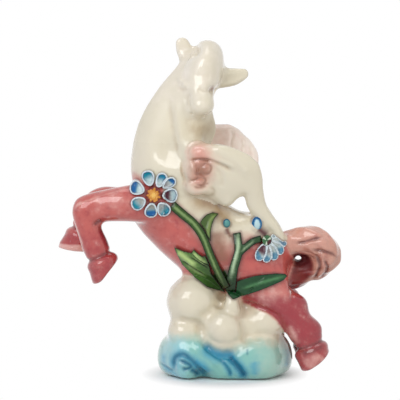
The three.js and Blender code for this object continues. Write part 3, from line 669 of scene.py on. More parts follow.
# %% [markdown]
# ## Tail
#
# The tail is a bundle of hair that curls back on itself. Swept strands would need joining, so furrows
# part one bundle instead: each point finds its place along the tail's middle line and its angle round it,
# and the furrows run along the tail at chosen angles. On the near side two grooves lie over the top and
# two crescents part the strands at the bend. The hollow inside the curl is painted dark: deep red paint
# with painted shade over it.

# %% Strands
TAIL_LINE = curve([(23.3, 0, 60.1), (34.3, -2, 62.7), (41.3, -3, 62.4), (46.1, -3, 59.4), (47.5, -2, 54.6),
                   (44.7, 0, 50.1), (39, 2, 48.1), (31.3, 3, 46.3)])
FURROW_ANGLES = (183, 222, 246, 260, 274, 290, 316, 357, 45)
TWIST, TWIST_FROM = 14, 0.3
TAIL_RADIUS, FURROW_WIDTH = 6, 0.55
FURROW_START = (0.12, 0.3)


def unit(rows):
    """Rows of vectors, each made one long."""
    return rows / np.linalg.norm(rows, axis=1)[:, None]


tail = on("tail")
_, along = nearest(TAIL_LINE, clay.place[tail])
step = np.clip((along * (len(TAIL_LINE) - 1)).astype(int), 1, len(TAIL_LINE) - 2)
heading = unit(TAIL_LINE[step + 1] - TAIL_LINE[step - 1])
outwards = unit(np.cross(heading, (0, 1, 0)))
spoke = clay.place[tail] - TAIL_LINE[step]
across = (spoke * np.cross(outwards, heading)).sum(1)
angle = np.degrees(np.arctan2((spoke * outwards).sum(1), across)) % 360
furrow = np.zeros(clay.count)
for groove in FURROW_ANGLES:
    turn = (angle - groove - TWIST * (along - TWIST_FROM) + 180) % 360 - 180
    furrow[tail] = np.maximum(furrow[tail], np.exp(-(np.radians(turn) * TAIL_RADIUS / FURROW_WIDTH) ** 2))
furrow[tail] *= ramp(along, *FURROW_START)
print("tail points:", int(tail.sum()), "in furrows:", int((furrow > 0.5).sum()))

# %% Curl of the tail
TAIL_GROOVES = [([(33.3, 62.5), (37.1, 63.5), (41, 64.7), (44.8, 65.5)], 0.8, -1.2),
                ([(40.6, 59.6), (44.8, 59.2), (48.7, 58.1), (51.8, 56.1)], 0.8, -1.2)]
CRESCENTS = [([(42.1, 56.9), (43.5, 54.1), (43.7, 51), (42.1, 47.1), (41, 45.8)], 0.8, -1.0),
             ([(45.6, 54.9), (47, 52.6), (47.2, 49.9), (45.6, 47.1), (44.4, 46)], 0.7, -0.9)]
TAIL_SWELLS = [((43.7, -9, 67), 2.2, 0.5), ((46.2, -10, 64.2), 2.2, 0.6)]
NEAR_FURROW, FAR_FURROW = 0.285, 0.57
HOLLOW_AT, HOLLOW_HALVES, HOLLOW_FADE = (34.4, 50.6), (6.8, 7.8), (1.15, 0.75)
CURL_END_X, CURL_END_Y, CURL_END_Z = (41, 35), (10, 4), (55, 49)
tail_near = tail & near
relief = tooled(TAIL_GROOVES + CRESCENTS, tail_near) - furrow * np.where(tail_near, NEAR_FURROW, FAR_FURROW)
for centre, radius, height in TAIL_SWELLS:
    relief += height * swell(clay, centre, radius, tail)
clay.push(clay.relax(relief, 1))
hollow_gap = np.linalg.norm((clay.flat - HOLLOW_AT) / HOLLOW_HALVES, axis=1)
inside_curl = tail * ramp(hollow_gap, *HOLLOW_FADE)
curl_end = tail * ramp(clay.x, *CURL_END_X) * ramp(clay.z, *CURL_END_Z) * ramp(clay.y, *CURL_END_Y)
print("tail relief in mm:", round(float(relief.min()), 2), round(float(relief.max()), 2))

# %% [markdown]
# ## Head, mane and legs
#
# The face looks at the viewer with its muzzle sunk towards the neck, and it is modelled very softly: two
# lids, a hollow below the ear, a round muzzle with one nostril pricked in. A lock of mane hangs beside it
# and a deep hollow opens under the chin. Each hoof is set off by a groove below the fetlock. Such shallow
# forms could be bump, but they have to catch the window's light, so they are pressed in too.

# %% Face and mane
FACE_MARKS = [
    ([(-12.6, 135.4), (-9.6, 134.2), (-7, 134.2)], 1.1, -0.6),
    ([(-13.4, 140.4), (-10.4, 141.4), (-6.8, 140)], 1.6, -0.4),
    ([(-22.4, 135.2), (-20, 134.4), (-17.4, 135.2)], 1.0, -0.35),
    ([(-16.8, 122), (-13, 119.6), (-9.7, 119.6), (-6.4, 122)], 1.6, -0.6),
    ([(-16.4, 133), (-17.2, 130), (-16.4, 126.6)], 1.2, -0.6),
]
LOCK_MARKS = [
    ([(-22.7, 128.4), (-22.3, 123.2), (-21.3, 117.1), (-20.4, 111.5), (-18.6, 106.9)], 2.2, 0.6),
    ([(-25.4, 127), (-25, 122), (-24, 116), (-22.8, 110.5), (-21, 106)], 1.6, -0.5),
    ([(-17.2, 122), (-17.4, 117.1), (-16.4, 111.6)], 2.0, -0.6),
]
FACE_DABS = [((-5.8, 134.4), 1.5, -1.6), ((-15.4, 123.6), 0.7, -0.7), ((-11, 126.6), 5, 1.3),
             ((-9.8, 137.6), 2.6, 0.7), ((-20.4, 138.4), 1.4, 0.8), ((-18.4, 136.4), 1.4, 0.9),
             ((-10.5, 113), 5, -1.0)]
FACE_FRONT = -3
NOTCH_AT, NOTCH_RADIUS, NOTCH_DEPTH = (-14.6, 152.6), 2.4, 2.2
NOTCH_SMOOTH_AT, NOTCH_SMOOTH_RADIUS, NOTCH_SMOOTH_ROUNDS = (-14.5, 150.5), 4.5, 24
FACE_ROUNDS = 3
face = on("head", "neck", "mane") & near & (clay.y < FACE_FRONT)
crown = on("head", "right_ear", "neck", "mane")
relief = tooled(FACE_MARKS + LOCK_MARKS, face) - NOTCH_DEPTH * dab(clay, NOTCH_AT, NOTCH_RADIUS, crown)
for spot, radius, height in FACE_DABS:
    relief += height * dab(clay, spot, radius, face)
clay.push(clay.relax(relief, FACE_ROUNDS))
notch = dab(clay, NOTCH_SMOOTH_AT, NOTCH_SMOOTH_RADIUS, crown)
smoothed = clay.relax(clay.place, NOTCH_SMOOTH_ROUNDS)
clay.refresh(clay.place + notch[:, None] * (smoothed - clay.place))
print("face relief in mm:", round(float(relief.min()), 2), round(float(relief.max()), 2))

# %% Legs
HOOF_GROOVES = [("left_foreleg", (-57.9, -13, 57.7), (6.1, 0, -13.5)),
                ("right_foreleg", (-66.6, 13, 66.2), (-5.8, 0, -13.2)),
                ("left_hind_leg", (39.2, -13, 16.2), (5.8, 0, -14.7)),
                ("right_hind_leg", (37.2, 13, 16.2), (5.8, 0, -14.7))]
FORELEG_SWELLS = [((-64.3, -13, 78.8), 5, 0.5), ((-60, -13, 62), 4.5, 0.7), ((-64.5, 13, 70), 4.5, 0.6),
                  ((-47, -19, 84), 8, 1.1), ((-57, -19, 82), 4, -0.6), ((-63, -19, 61), 2.6, 0.5),
                  ((-57, -18, 63.5), 2.4, 0.5), ((-58, -20, 54), 2.6, 0.5), ((-53, -19, 56), 2.6, 0.4)]
HIND_LEG_SWELLS = [((36.6, -13, 38), 4.5, 1.2), ((43, -13, 24), 4.5, 1.0), ((34.6, 13, 38), 4.5, 1.2),
                   ((41, 13, 24), 4.5, 1.0), ((40, -13, 31), 3.5, -0.8), ((38, 13, 31), 3.5, -0.8),
                   ((33.6, -13, 10.5), 4.5, 1.3), ((47, -13, 12), 3.5, -0.9), ((31.5, -13, 22), 5, 0.9),
                   ((38, -20, 21), 3, 0.5), ((42, -20, 10), 3, 0.4)]
SPRIG_TIP_SWELL = ((6.5, -19, 72), 1.5, 0.9)
KNEE_FOLD = ([(-60.3, 72.5), (-58.4, 73.5), (-56.6, 74.4)], 1.0, -0.7)
LEG_MARKS = [KNEE_FOLD, ([(30.1, 44.7), (31.1, 41.4), (30.6, 36.8)], 1.0, -0.8),
             ([(8.3, 36.2), (17.2, 33.4), (25.5, 29.6)], 0.9, -0.6)]
GROOVE_WIDTH, GROOVE_DEPTH = 0.9, 0.8
HOOF_RIM_AT, HOOF_RIM_WIDTH, HOOF_RIM_HEIGHT = 3.0, 1.6, 0.5
RAISED_SOLE, SOLE_BELOW, SOLE_SWELL = (0.5, 0.85), 66, 1.5
FAR_HIND_FADE, FAR_HIND_SLIM = (50, 40), 0.9
limbs = on(*LEGS, "trunk")
facing_down = -clay.facing[:, 2]
relief = tooled(LEG_MARKS, limbs & near & (clay.y < 0))
coronet = np.zeros(clay.count)
for name, centre, axis in HOOF_GROOVES:
    below = (clay.place - np.array(centre)) @ (np.array(axis) / np.linalg.norm(axis))
    coronet = np.maximum(coronet, on(name) * np.exp(-(below / GROOVE_WIDTH) ** 2))
    relief += HOOF_RIM_HEIGHT * on(name) * np.exp(-((below - HOOF_RIM_AT) / HOOF_RIM_WIDTH) ** 2)
raised_hoof = on("right_foreleg") & (clay.z < SOLE_BELOW)
relief += SOLE_SWELL * raised_hoof * ramp(facing_down, *RAISED_SOLE) - GROOVE_DEPTH * coronet
relief -= FAR_HIND_SLIM * on("right_hind_leg") * ramp(clay.z, *FAR_HIND_FADE)
for centre, radius, height in FORELEG_SWELLS + HIND_LEG_SWELLS + [SPRIG_TIP_SWELL]:
    relief += height * swell(clay, centre, radius, limbs)
clay.push(clay.relax(relief, 1))
print("leg relief in mm:", round(float(relief.min()), 2), round(float(relief.max()), 2))

# %% [markdown]
# ## Rose on the body
#
# The painter works with a few colours over a cream ground: rose on the lower body and a deeper rose on
# shanks and hooves. Deep rose in the folds is painted shade. Paler rose is a painted highlight on the
# foreleg's front edge, the forearm, the ridges and the hind shank, and a lighter tone elsewhere. An image
# could be painted on a UV map. Masks from 0 to 1 on the points are kept instead, because they follow the
# forms that were just pressed in.

# %% Rose
ROSE_LINE = [(-60, 96), (-46, 94), (-39, 92.5), (-31, 85), (-21, 80), (-14, 73.5), (-5, 69), (3, 67.5),
             (12, 66), (21, 64.5), (29, 66), (60, 66)]
ROSE_FADE = [(-25, 4), (-8, 14), (4, 14), (12, 5)]
ROSE_OVERLAP, TAIL_ROSE, ROSE_ROUNDS = 3, 0.15, 14


def height_at(line, along):
    """The height of a line of points in the side view, at places along the horse."""
    return np.interp(along, *np.array(line, float).T)


x, y, z = clay.x, clay.y, clay.z
edge = height_at(ROSE_LINE, x) + ROSE_OVERLAP
rose = np.where(on("trunk", "neck"), np.clip((edge - z) / height_at(ROSE_FADE, x), 0, 1), on(*LEGS))
rose = clay.relax(np.where(tail, TAIL_ROSE, rose), ROSE_ROUNDS)
print("rose covers:", round(float(rose.mean()), 3))

# %% Deep rose
SHANK_HEIGHTS, SHANK_DEPTH = (84, 58), 0.75
HOCK_HEIGHTS, THIGH_DEPTH = (42, 38), 0.1
PASTERN_HEIGHTS, PASTERN_PALER = (22, 14), 0.15
HOOF_HEIGHTS, HOOF_DEPTH = {"left_foreleg": (58, 54), "right_foreleg": (70, 64)}, 0.82
KNEE_SHADE = [([(-58.5, 71), (-55.7, 65.3), (-53.3, 59.7)], 2.0, 0.95)]
HOLLOW_ROUNDS, FOLD_SHADE_DEPTH, RIDGE_HEIGHT = 16, 0.35, 0.6
FURROW_DEEP, BODY_DEEP, FOLD_SHADE_STRENGTH = 0.2, 0.3, 0.8
near_foreleg = on("left_foreleg") & near
near_hind_leg = on("left_hind_leg") & near
shank = SHANK_DEPTH * on("left_foreleg", "right_foreleg") * ramp(z, *SHANK_HEIGHTS)
hind = on("left_hind_leg", "right_hind_leg") * (THIGH_DEPTH + (1 - THIGH_DEPTH) * ramp(z, *HOCK_HEIGHTS))
hind *= 1 - PASTERN_PALER * ramp(z, *PASTERN_HEIGHTS)
hooves = sum(HOOF_DEPTH * on(name) * ramp(z, *heights) for name, heights in HOOF_HEIGHTS.items())
# Points sunk below their relaxed place lie in hollows: deep rose and tan go there as painted shade, and
# raised points get paler rose as a painted highlight.
sunk = ((clay.relax(clay.place, HOLLOW_ROUNDS) - clay.place) * clay.facing).sum(1)
fold_shade = np.clip(clay.relax(sunk, 2) / FOLD_SHADE_DEPTH, 0, 1)
raised = np.clip(clay.relax(-sunk, 2) / RIDGE_HEIGHT, 0, 1)
# Deep rose is the colour of shanks, hocks and hooves. In the folds and behind the knee it is painted shade,
# and in the curl of the tail it is deep red paint with painted shade.
deep = clay.relax(strongest(shank, hind, inside_curl, curl_end, FURROW_DEEP * furrow), 3)
deep = strongest(deep, BODY_DEEP * rose, FOLD_SHADE_STRENGTH * fold_shade * rose,
                 brushed(KNEE_SHADE, near_foreleg), hooves)
print("deep rose covers:", round(float(deep.mean()), 3))

# %% Pale rose
RIM_HIGHLIGHTS = [([(-45, 89.3), (-53.3, 87), (-60.3, 84.7), (-67.3, 81.9), (-70, 78.1)], 0.6, 0.6),
              ([(-69.6, 73.5), (-67.3, 67.9), (-65.4, 62.2)], 0.6, 0.7)]
FOREARM_HIGHLIGHT = ([(-62, 82), (-52, 84), (-42, 82.5)], 5, 0.45)
HAUNCH_BLOOM = ([(14, 40), (22, 39), (29, 44)], 5, 0.5)
HOOF_BLOOM = ([(37, 6), (41, 10), (44, 13)], 4, 0.65)
CANNON_HIGHLIGHT = ([(29.5, 26.5), (31.5, 21), (33.8, 16)], 1.6, 0.6)
SOLE_BAND, SOLE_FACING = (4.8, 3.4), (0.45, 0.8)
BODY_PALE, RIDGE_HIGHLIGHT, SOLE_RIM_PALE, SOLE_PALE = 0.07, 0.4, 0.9, 0.8
sole = z[on("right_foreleg")].min()
sole_rim = on("right_foreleg") * ramp(z - sole, *SOLE_BAND)
sole_face = on("right_foreleg") * ramp(-clay.facing[:, 2], *SOLE_FACING) * (z < SOLE_BELOW)
# Paler rose: painted highlights on the foreleg's front edges, its forearm, the ridges and the hind shank,
# and a lighter tone on the body, the haunch, the hind hoof and the far sole.
pale = strongest(BODY_PALE * rose, RIDGE_HIGHLIGHT * raised * rose,
                 brushed(RIM_HIGHLIGHTS + [FOREARM_HIGHLIGHT], near_foreleg),
                 brushed([HAUNCH_BLOOM], on("trunk", "left_hind_leg") & near),
                 brushed([HOOF_BLOOM, CANNON_HIGHLIGHT], near_hind_leg),
                 SOLE_RIM_PALE * sole_rim, SOLE_PALE * sole_face)
print("pale rose covers:", round(float(pale.mean()), 3))

# %% [markdown]
# ## Tan, umber, blush and lines
#
# Tan is painted shade in the hollows, under the wing and under the chin, and a warm tint on the tail and
# at the root of the far wing. Umber is painted shade under the wing, between the stems and in the hollow
# below the ear, and a red-brown smear by the sprig tip. Curls and tail are blushed, and the thin dark
# lines in the grooves and folds are painted shade. Such shade could be baked as ambient occlusion.
# Comparing each point with its relaxed place gives the same hollows without a bake.

# %% Tan and umber
UNDER_WING = [(-12, 83), (-4.6, 80.8), (-0.6, 76)]
UNDER_WING_TAN, UNDER_WING_UMBER = (4.5, 0.95), (3.5, 0.25)
CHIN_AT, CHIN_HALVES = (-9.5, 115.5), (7, 5)
CREVICE_AT, CREVICE_RADIUS = (-6, 134.6), 1.2
FLANK_UMBER = [([(-5, 70), (-3, 62), (-1, 54)], 4.5, 0.8),
               ([(0.6, 70.8), (1.6, 68.4), (2.8, 66.4)], 1.0, 0.9)]
TAN_SHADE_DEPTH, BASE_TAN, TAIL_TAN, FAR_WING_TAN, CHIN_TAN = 0.45, 0.6, 0.4, 0.15, 0.65
HEAD_CLEARS, CREVICE_SHADE = 0.7, 0.8
FAR_WING_ROOT, HEAD_HEIGHTS = (8, -2), (128, 144)
flank = on("trunk") & near
width, amount = UNDER_WING_TAN
# Painted shade: tan in the hollows, under the wing and under the chin. On the tail and at the far wing's
# root it is a warm tint.
tan = strongest(clay.relax(np.clip(sunk / TAN_SHADE_DEPTH, 0, 1), 2) * np.where(base, BASE_TAN, 1.0),
                amount * stroke(clay, UNDER_WING, width, flank, taper=0),
                TAIL_TAN * tail + FAR_WING_TAN * (right_wing & near) * ramp(x, *FAR_WING_ROOT),
                CHIN_TAN * dab(clay, CHIN_AT, CHIN_HALVES, face))
tan *= 1 - HEAD_CLEARS * on("head", "right_ear", "left_ear", "neck", "mane") * ramp(z, *HEAD_HEIGHTS)
# Painted shade: umber in the hollow below the ear, under the wing and between the stems. The short stroke by
# the sprig tip is a red-brown smear.
umber = strongest(CREVICE_SHADE * dab(clay, CREVICE_AT, CREVICE_RADIUS, face),
                  brushed(FLANK_UMBER + [(UNDER_WING, *UNDER_WING_UMBER)], flank))
print("tan covers:", round(float(tan.mean()), 3), "umber covers:", round(float(umber.mean()), 3))

# %% Blush, lightening and bisque
BLUSH_SPOTS = [((-11.5, -20, 106.5), 5, 0.85), ((-10.5, -20, 99), 5, 0.9), ((-12, -20, 92.5), 4.5, 0.8)]
NEAR_WING_ROOT, LIGHTENING_HEIGHTS, TAIL_HEIGHTS = (-2, -14), (118, 140), (66, 58)
WING_BLUSH, ROOT_BLUSH, TAIL_BLUSH, HEAD_LIGHTENING = 0.12, 0.2, 0.85, 0.3
CURL_HEART, CURL_HEART_RADIUS, HEART_BISQUE = (-11, -20, 97.6), 5, 0.9
TAIL_BISQUE, TAIL_FOOT_BISQUE = 0.14, 0.2
PAINTED_CURLS = LOWER_CURLS[:-1]
pink = sum(strength * swell(clay, spot, radius) for spot, radius, strength in BLUSH_SPOTS)
blush = left_wing * (pink + WING_BLUSH * ramp(x, *NEAR_WING_ROOT)) + TAIL_BLUSH * tail
blush += right_wing * (WING_BLUSH + ROOT_BLUSH * ramp(x, *FAR_WING_ROOT))
blush = clay.relax(np.clip(blush, 0, 1), 8)
# Lightening: painted light on the far wing, which lies in shade behind the neck and the near wing, and a
# lighter cream towards the top of the head.
lightening = right_wing + HEAD_LIGHTENING * on("head", "neck", "mane", "right_ear") * ramp(z, *LIGHTENING_HEIGHTS)
lightening = clay.relax(lightening, 6)
# Bisque: painted shade along the curls' creases and the covert crease, and a brown tint on the heart of the
# curls and on the tail, stronger lower down.
bisque = strongest(brushed(retraced(PAINTED_CURLS, 1.5, 0.65), near_wing),
                   HEART_BISQUE * swell(clay, CURL_HEART, CURL_HEART_RADIUS, near_wing),
                   brushed(retraced([COVERT_CREASE], 1.0, 0.18), near_wing),
                   tail * (TAIL_BISQUE + TAIL_FOOT_BISQUE * ramp(z, *TAIL_HEIGHTS)))
print("blush covers:", round(float(blush.mean()), 3), "bisque covers:", round(float(bisque.mean()), 3))

# %% Dark lines
SPRIG_LINE = [([(0.5, 70.6), (1.4, 67.8)], 1.3, 0.6)]
BUD_NECK = [([(15, 70.3), (17, 68.6), (19.2, 66.4)], 2.0, 1.0)]
FORELEG_LINES = [([(-58.8, 72.6), (-56.2, 68.5), (-54, 62.5)], 1.3, 0.55)] + retraced([KNEE_FOLD], 1.1, 0.7)
HIND_CORONET = [([(34.5, 12.8), (40, 14.2), (46, 16.6)], 1.4, 0.55)]
TAIL_LINES = retraced(CRESCENTS, 1.1, 0.8) + retraced(TAIL_GROOVES, 0.9, 0.75)
BUD_NECK_FRONT = -4
HOLLOW_HEIGHTS, HOLLOW_LINE, HOLLOW_TOP_LINE = (46, 53), 0.45, 0.5
CORONET_LINE, CURL_END_LINE = 0.55, 0.4
# Dark lines: painted shade in the curls, the knee fold, the hoof grooves, the tail's grooves and the hollow
# of its curl. The wine neck of the bud and the line by the sprig tip are paint.
hollow_line = HOLLOW_LINE + HOLLOW_TOP_LINE * ramp(z, *HOLLOW_HEIGHTS)
lines = strongest(brushed(retraced(PAINTED_CURLS, 0.7, 0.22), near_wing), brushed(SPRIG_LINE, flank),
                  brushed(BUD_NECK, on("trunk", "left_wing", "tail") & near & (y < BUD_NECK_FRONT)),
                  brushed(FORELEG_LINES, near_foreleg), brushed(HIND_CORONET, near_hind_leg),
                  brushed(TAIL_LINES, tail_near), CORONET_LINE * coronet, CURL_END_LINE * curl_end,
                  clay.relax(inside_curl, 2) * hollow_line)
print("dark lines cover:", round(float(lines.mean()), 3))

# %% [markdown]
# ## Wave colours and the shade of the sprig
#
# The wave is washed in aqua that runs out into the cream of the cloud, with turquoise and navy strokes in
# its furrows and a painted bluish reflection at its ends. Round the applied flowers a thin dark line is
# painted as shade where they meet the body, and moss green fills the foot of the sprig. The distance to
# the flower castings gives that line, so no outline has to be drawn twice.

# %% Wave colours
WATER_LINE = [(-32, 21), (-23, 19.7), (-16, 21), (-11.6, 20), (-7.9, 16.3), (-3.2, 14), (2.3, 13.6),
              (7, 15.8), (11.6, 18), (17, 18.6), (23, 17.8), (28, 16.4), (32, 14)]
TURQUOISE = [([(13.3, 9.9), (13.6, 6.7), (13.3, 2.5)], 2.6, 0.5),
             ([(30.1, 14.1), (30.6, 9.5), (29.2, 4.3)], 2.4, 0.8),
             ([(-27.8, 12), (-28.8, 8.5), (-26.9, 3.9), (-20.9, 1.5)], 2.2, 0.5),
             ([(-15.3, 9.5), (-10.2, 6.7), (-8.3, 2.9)], 2.6, 0.9),
             (SCROLL, 2.4, 0.8), (HOLLOW, 3.4, 0.9), (BROAD_FURROW, 3, 0.9), (THIN_FURROW, 1.6, 0.8)]
NAVY = [(SCROLL, 1.1, 0.75), (SCROLL_EYE, 1.2, 0.95), (SCROLL_FOOT, 1.4, 0.95), (SCROLL_TAIL, 0.7, 0.7),
        (HOLLOW, 1.6, 0.45), (BROAD_FURROW, 1.6, 1.0), (THIN_FURROW, 0.8, 0.6),
        ([(10.2, 15.1), (10.2, 12.3)], 0.6, 0.6), ([(-29.7, 17.9), (-30.1, 15.5), (-29.7, 13.2)], 0.9, 0.8)]
BEHIND = (-9, 9)
WATER_OVERLAP, WATER_FADE = 2.5, 6
RIGHT_THINS, RIGHT_THINNING = (10, 18), 0.18
LEFT_THINS, LEFT_THINNING = (-20, -27), 0.2
SKY_END, SKY_STRENGTH, STROKE_REACH = (-14, -22), 0.6, 1.6
behind = ramp(y, *BEHIND)
water, wash = np.zeros(clay.count), np.zeros(clay.count)
for share, turned in ((1 - behind, 1), (behind, -1)):
    water += share * height_at(WATER_LINE, turned * x)
    thinned = RIGHT_THINNING * ramp(turned * x, *RIGHT_THINS) + LEFT_THINNING * ramp(turned * x, *LEFT_THINS)
    wash += share * (1 - thinned)
aqua = wash * clay.relax(base * np.clip((water + WATER_OVERLAP - z) / WATER_FADE, 0, 1), 4)
# Sky: a painted bluish reflection at the left end of the wave and, turned about, at the other end behind.
sky = SKY_STRENGTH * aqua * strongest(*(side * ramp(turned * x, *SKY_END) for side, turned in SIDES))
turquoise = strongest(*(brushed(TURQUOISE, *side) for side in SIDES)) * np.clip(aqua * STROKE_REACH, 0, 1)
navy = strongest(*(brushed(NAVY, *side) for side in SIDES))
print("aqua covers:", round(float(aqua.mean()), 3), "navy covers:", round(float(navy.mean()), 3))

# %% Shade of the sprig
SPRIG_GROUND = ("trunk", "neck", "left_wing", "left_foreleg", "left_hind_leg", "cloud")
SPRIG_LOW, SPRIG_HIGH, SPRIG_FRONT = (-46, 34), (36, 102), -5
SHADE_REACH, SHADE_STRENGTH, FAR_AWAY = (1.2, 0.2), 0.5, 9.0
MOSS = [([(-6, 50), (-2.5, 46), (1.5, 42)], 2.6, 1.0), ([(-1, 52), (0.6, 48), (2, 44)], 2.6, 1.0)]
NECK_HEIGHTS, SATIN_ROUNDS, NAVY_SATIN = (103, 116), 10, 0.8
sprig, _ = joined([name for name in castings if name not in SKIN])
sprig_tree = BVHTree.FromBMesh(sprig)
sprig.free()
window = (clay.flat > SPRIG_LOW).all(1) & (clay.flat < SPRIG_HIGH).all(1) & (y < SPRIG_FRONT)
beside = np.full(clay.count, FAR_AWAY)
for i in np.nonzero(on(*SPRIG_GROUND) & near & window)[0]:
    beside[i] = sprig_tree.find_nearest(clay.place[i])[3]
# Painted shade: a thin dark line round the flowers where they meet the body.
lines = strongest(lines, SHADE_STRENGTH * clay.relax(ramp(beside, *SHADE_REACH), 1))
moss = brushed(MOSS, on("trunk", "cloud") & near & (y < SPRIG_FRONT))
satin = clay.relax(strongest(on("neck", "mane") * ramp(z, *NECK_HEIGHTS), inside_curl), SATIN_ROUNDS)
satin = strongest(satin, NAVY_SATIN * navy)
skin_masks = {"lightening": lightening, "tan": tan, "blush": blush, "rose": rose, "deep": deep, "umber": umber,
              "pale": pale, "bisque": bisque, "lines": lines, "aqua": aqua, "sky": sky,
              "turquoise": turquoise, "navy": navy, "moss": moss, "satin": satin}
print("points beside the sprig:", int((beside < 1).sum()), "masks:", len(skin_masks))

# %% [markdown]
# ## Glazed porcelain
#
# White porcelain under painted colour and a clear gloss glaze: a smooth dielectric with a thin clear
# coat. A plain gloss would look like plastic. So the painted colours break up in blotches a few
# millimetres wide, the glaze ripples slightly, which lets the window's reflection wander as on a
# hand-dipped piece, and a satin mask dulls it on the neck, in the curl of the tail and over the navy
# strokes.

# %% Porcelain material
RIPPLE_SIZE, FLECK_SIZE = 6.0, 1.5
GLOSS_FROM, GLOSS_TO, SATIN_ROUGHNESS, SATIN_COAT = 0.08, 0.16, 0.3, 0.1
GLAZE_IOR, COAT_ROUGHNESS = 1.5, 0.03
LOOSE_COATS, LOOSE_SWAY, EVEN_SWAY = ("deep", "pale"), (0.35, 2.6), (0.65, 1.5)


def glaze_shader(tree, output, colour, ripple=0.05, gloss=0.8, body=0.3):
    """A clear glaze over a colour: gloss with a thin coat, a slow ripple and a fine unevenness of gloss."""
    spot = add(tree, "ShaderNodeTexCoord").outputs["Object"]
    slow = add(tree, "ShaderNodeTexNoise", values={"Scale": 1 / (RIPPLE_SIZE * MM), "Detail": 2.0},
               links={"Vector": spot})
    bump = add(tree, "ShaderNodeBump", values={"Strength": 1.0, "Distance": ripple * MM},
               links={"Height": slow.outputs["Fac"]})
    fleck = add(tree, "ShaderNodeTexNoise", values={"Scale": 1 / (FLECK_SIZE * MM), "Detail": 3.0},
                links={"Vector": spot})
    blur = add(tree, "ShaderNodeMapRange", values={"To Min": GLOSS_FROM, "To Max": GLOSS_TO},
               links={"Value": fleck.outputs["Fac"]})
    satin = add(tree, "ShaderNodeAttribute", attribute_name="satin").outputs["Fac"]
    dulled = add(tree, "ShaderNodeMath", operation="MULTIPLY_ADD", values={1: SATIN_ROUGHNESS},
                 links={0: satin, 2: blur.outputs[0]})
    coat = add(tree, "ShaderNodeMapRange", values={"To Min": gloss, "To Max": SATIN_COAT},
               links={"Value": satin})
    shader = add(tree, "ShaderNodeBsdfPrincipled",
                 values={"IOR": GLAZE_IOR, "Specular IOR Level": body, "Coat Roughness": COAT_ROUGHNESS},
                 links={"Base Color": colour, "Roughness": dulled.outputs[0], "Coat Weight": coat.outputs[0],
                        "Normal": bump.outputs[0], "Coat Normal": bump.outputs[0]})
    tree.links.new(shader.outputs[0], output.inputs["Surface"])


def painted(tree, ground, coats, blotch_mm=4.0):
    """Lays coats of colour over a ground, each through its mask, blotchy where the coat is thin."""
    spot = add(tree, "ShaderNodeTexCoord").outputs["Object"]
    first = add(tree, "ShaderNodeRGB")
    first.outputs[0].default_value = linear(ground)
    colour = first.outputs[0]
    for number, (name, code) in enumerate(coats):
        noise = add(tree, "ShaderNodeTexNoise", noise_dimensions="4D",
                    values={"Scale": 1 / (blotch_mm * MM), "W": 3.7 * number, "Detail": 3.0},
                    links={"Vector": spot})
        thick, thin = LOOSE_SWAY if name in LOOSE_COATS else EVEN_SWAY
        sway = add(tree, "ShaderNodeMapRange",
                   values={"From Min": 0.3, "From Max": 0.7, "To Min": thick, "To Max": thin},
                   links={"Value": noise.outputs["Fac"]})
        mask = add(tree, "ShaderNodeAttribute", attribute_name=name)
        cover = add(tree, "ShaderNodeMath", operation="POWER", use_clamp=True,
                    links={0: mask.outputs["Fac"], 1: sway.outputs[0]})
        # A Mix node's sockets 6 and 7 and its output 2 are the ones for colours.
        mixed = add(tree, "ShaderNodeMix", data_type="RGBA", values={7: linear(code)},
                    links={0: cover.outputs[0], 6: colour})
        colour = mixed.outputs[2]
    return colour


# Hand-painted porcelain: warm cream under a wet gloss, with each painted colour blotchy where it is thin.
# Several coats paint light and shade. Tan, umber, bisque, lines and part of deep are painted shade in
# hollows, folds and creases. Pale is partly a painted highlight, lightening is painted light on the far
# wing, and sky is a painted bluish reflection on the wave.
COATS = (("lightening", "#FFF3E6"), ("tan", "#B39A76"), ("blush", "#E2A392"), ("rose", "#C65C53"),
         ("deep", "#9E2531"), ("umber", "#84553C"), ("pale", "#E6B0A4"), ("bisque", "#94654C"),
         ("lines", "#571C20"), ("aqua", "#86C2B6"), ("sky", "#A4DAE4"), ("turquoise", "#1294BA"),
         ("navy", "#06607E"), ("moss", "#24401F"))
porcelain, tree, output = empty_material("hand_painted_glazed_porcelain")
glaze_shader(tree, output, painted(tree, "#E1D8C0", COATS))
print("coats on the porcelain:", len(COATS))

# %% [markdown]
# ## Cut the skin back into castings
#
# The library wants one piece for each casting. Cutting with planes would leave straight seams, so each
# face goes to the casting that its first corner lies nearest to. A piece keeps the normals of the whole
# skin, so no joint shows, and turns a short flange inwards along its cut, as a casting has at its joint.


def piece_from(name, place, normal, quads, masks, material, node):
    """One piece from arrays: points in millimetres, their normals, quads and masks."""
    mesh = bpy.data.meshes.new(name)
    mesh.vertices.add(len(place))
    mesh.vertices.foreach_set("co", (place * MM).astype(np.float32).ravel())
    mesh.loops.add(quads.size)
    mesh.loops.foreach_set("vertex_index", quads.astype(np.int32).ravel())
    mesh.polygons.add(len(quads))
    mesh.polygons.foreach_set("loop_start", np.arange(len(quads), dtype=np.int32) * 4)
    mesh.polygons.foreach_set("use_smooth", np.ones(len(quads), bool))
    mesh.update(calc_edges=True)
    mesh.validate()
    for key, values in masks.items():
        mesh.attributes.new(key, "FLOAT", "POINT").data.foreach_set("value", values.astype(np.float32))
    mesh.normals_split_custom_set_from_vertices(normal.tolist())
    mesh.materials.append(material)
    made = bpy.data.objects.new(name, mesh)
    scene.collection.objects.link(made)
    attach(made, "root")
    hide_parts(node)


def all_quads(mesh):
    """The corners of a remeshed mesh, four to a row."""
    return Clay.read(mesh.loops, "vertex_index", 1, np.int32).reshape(-1, 4)


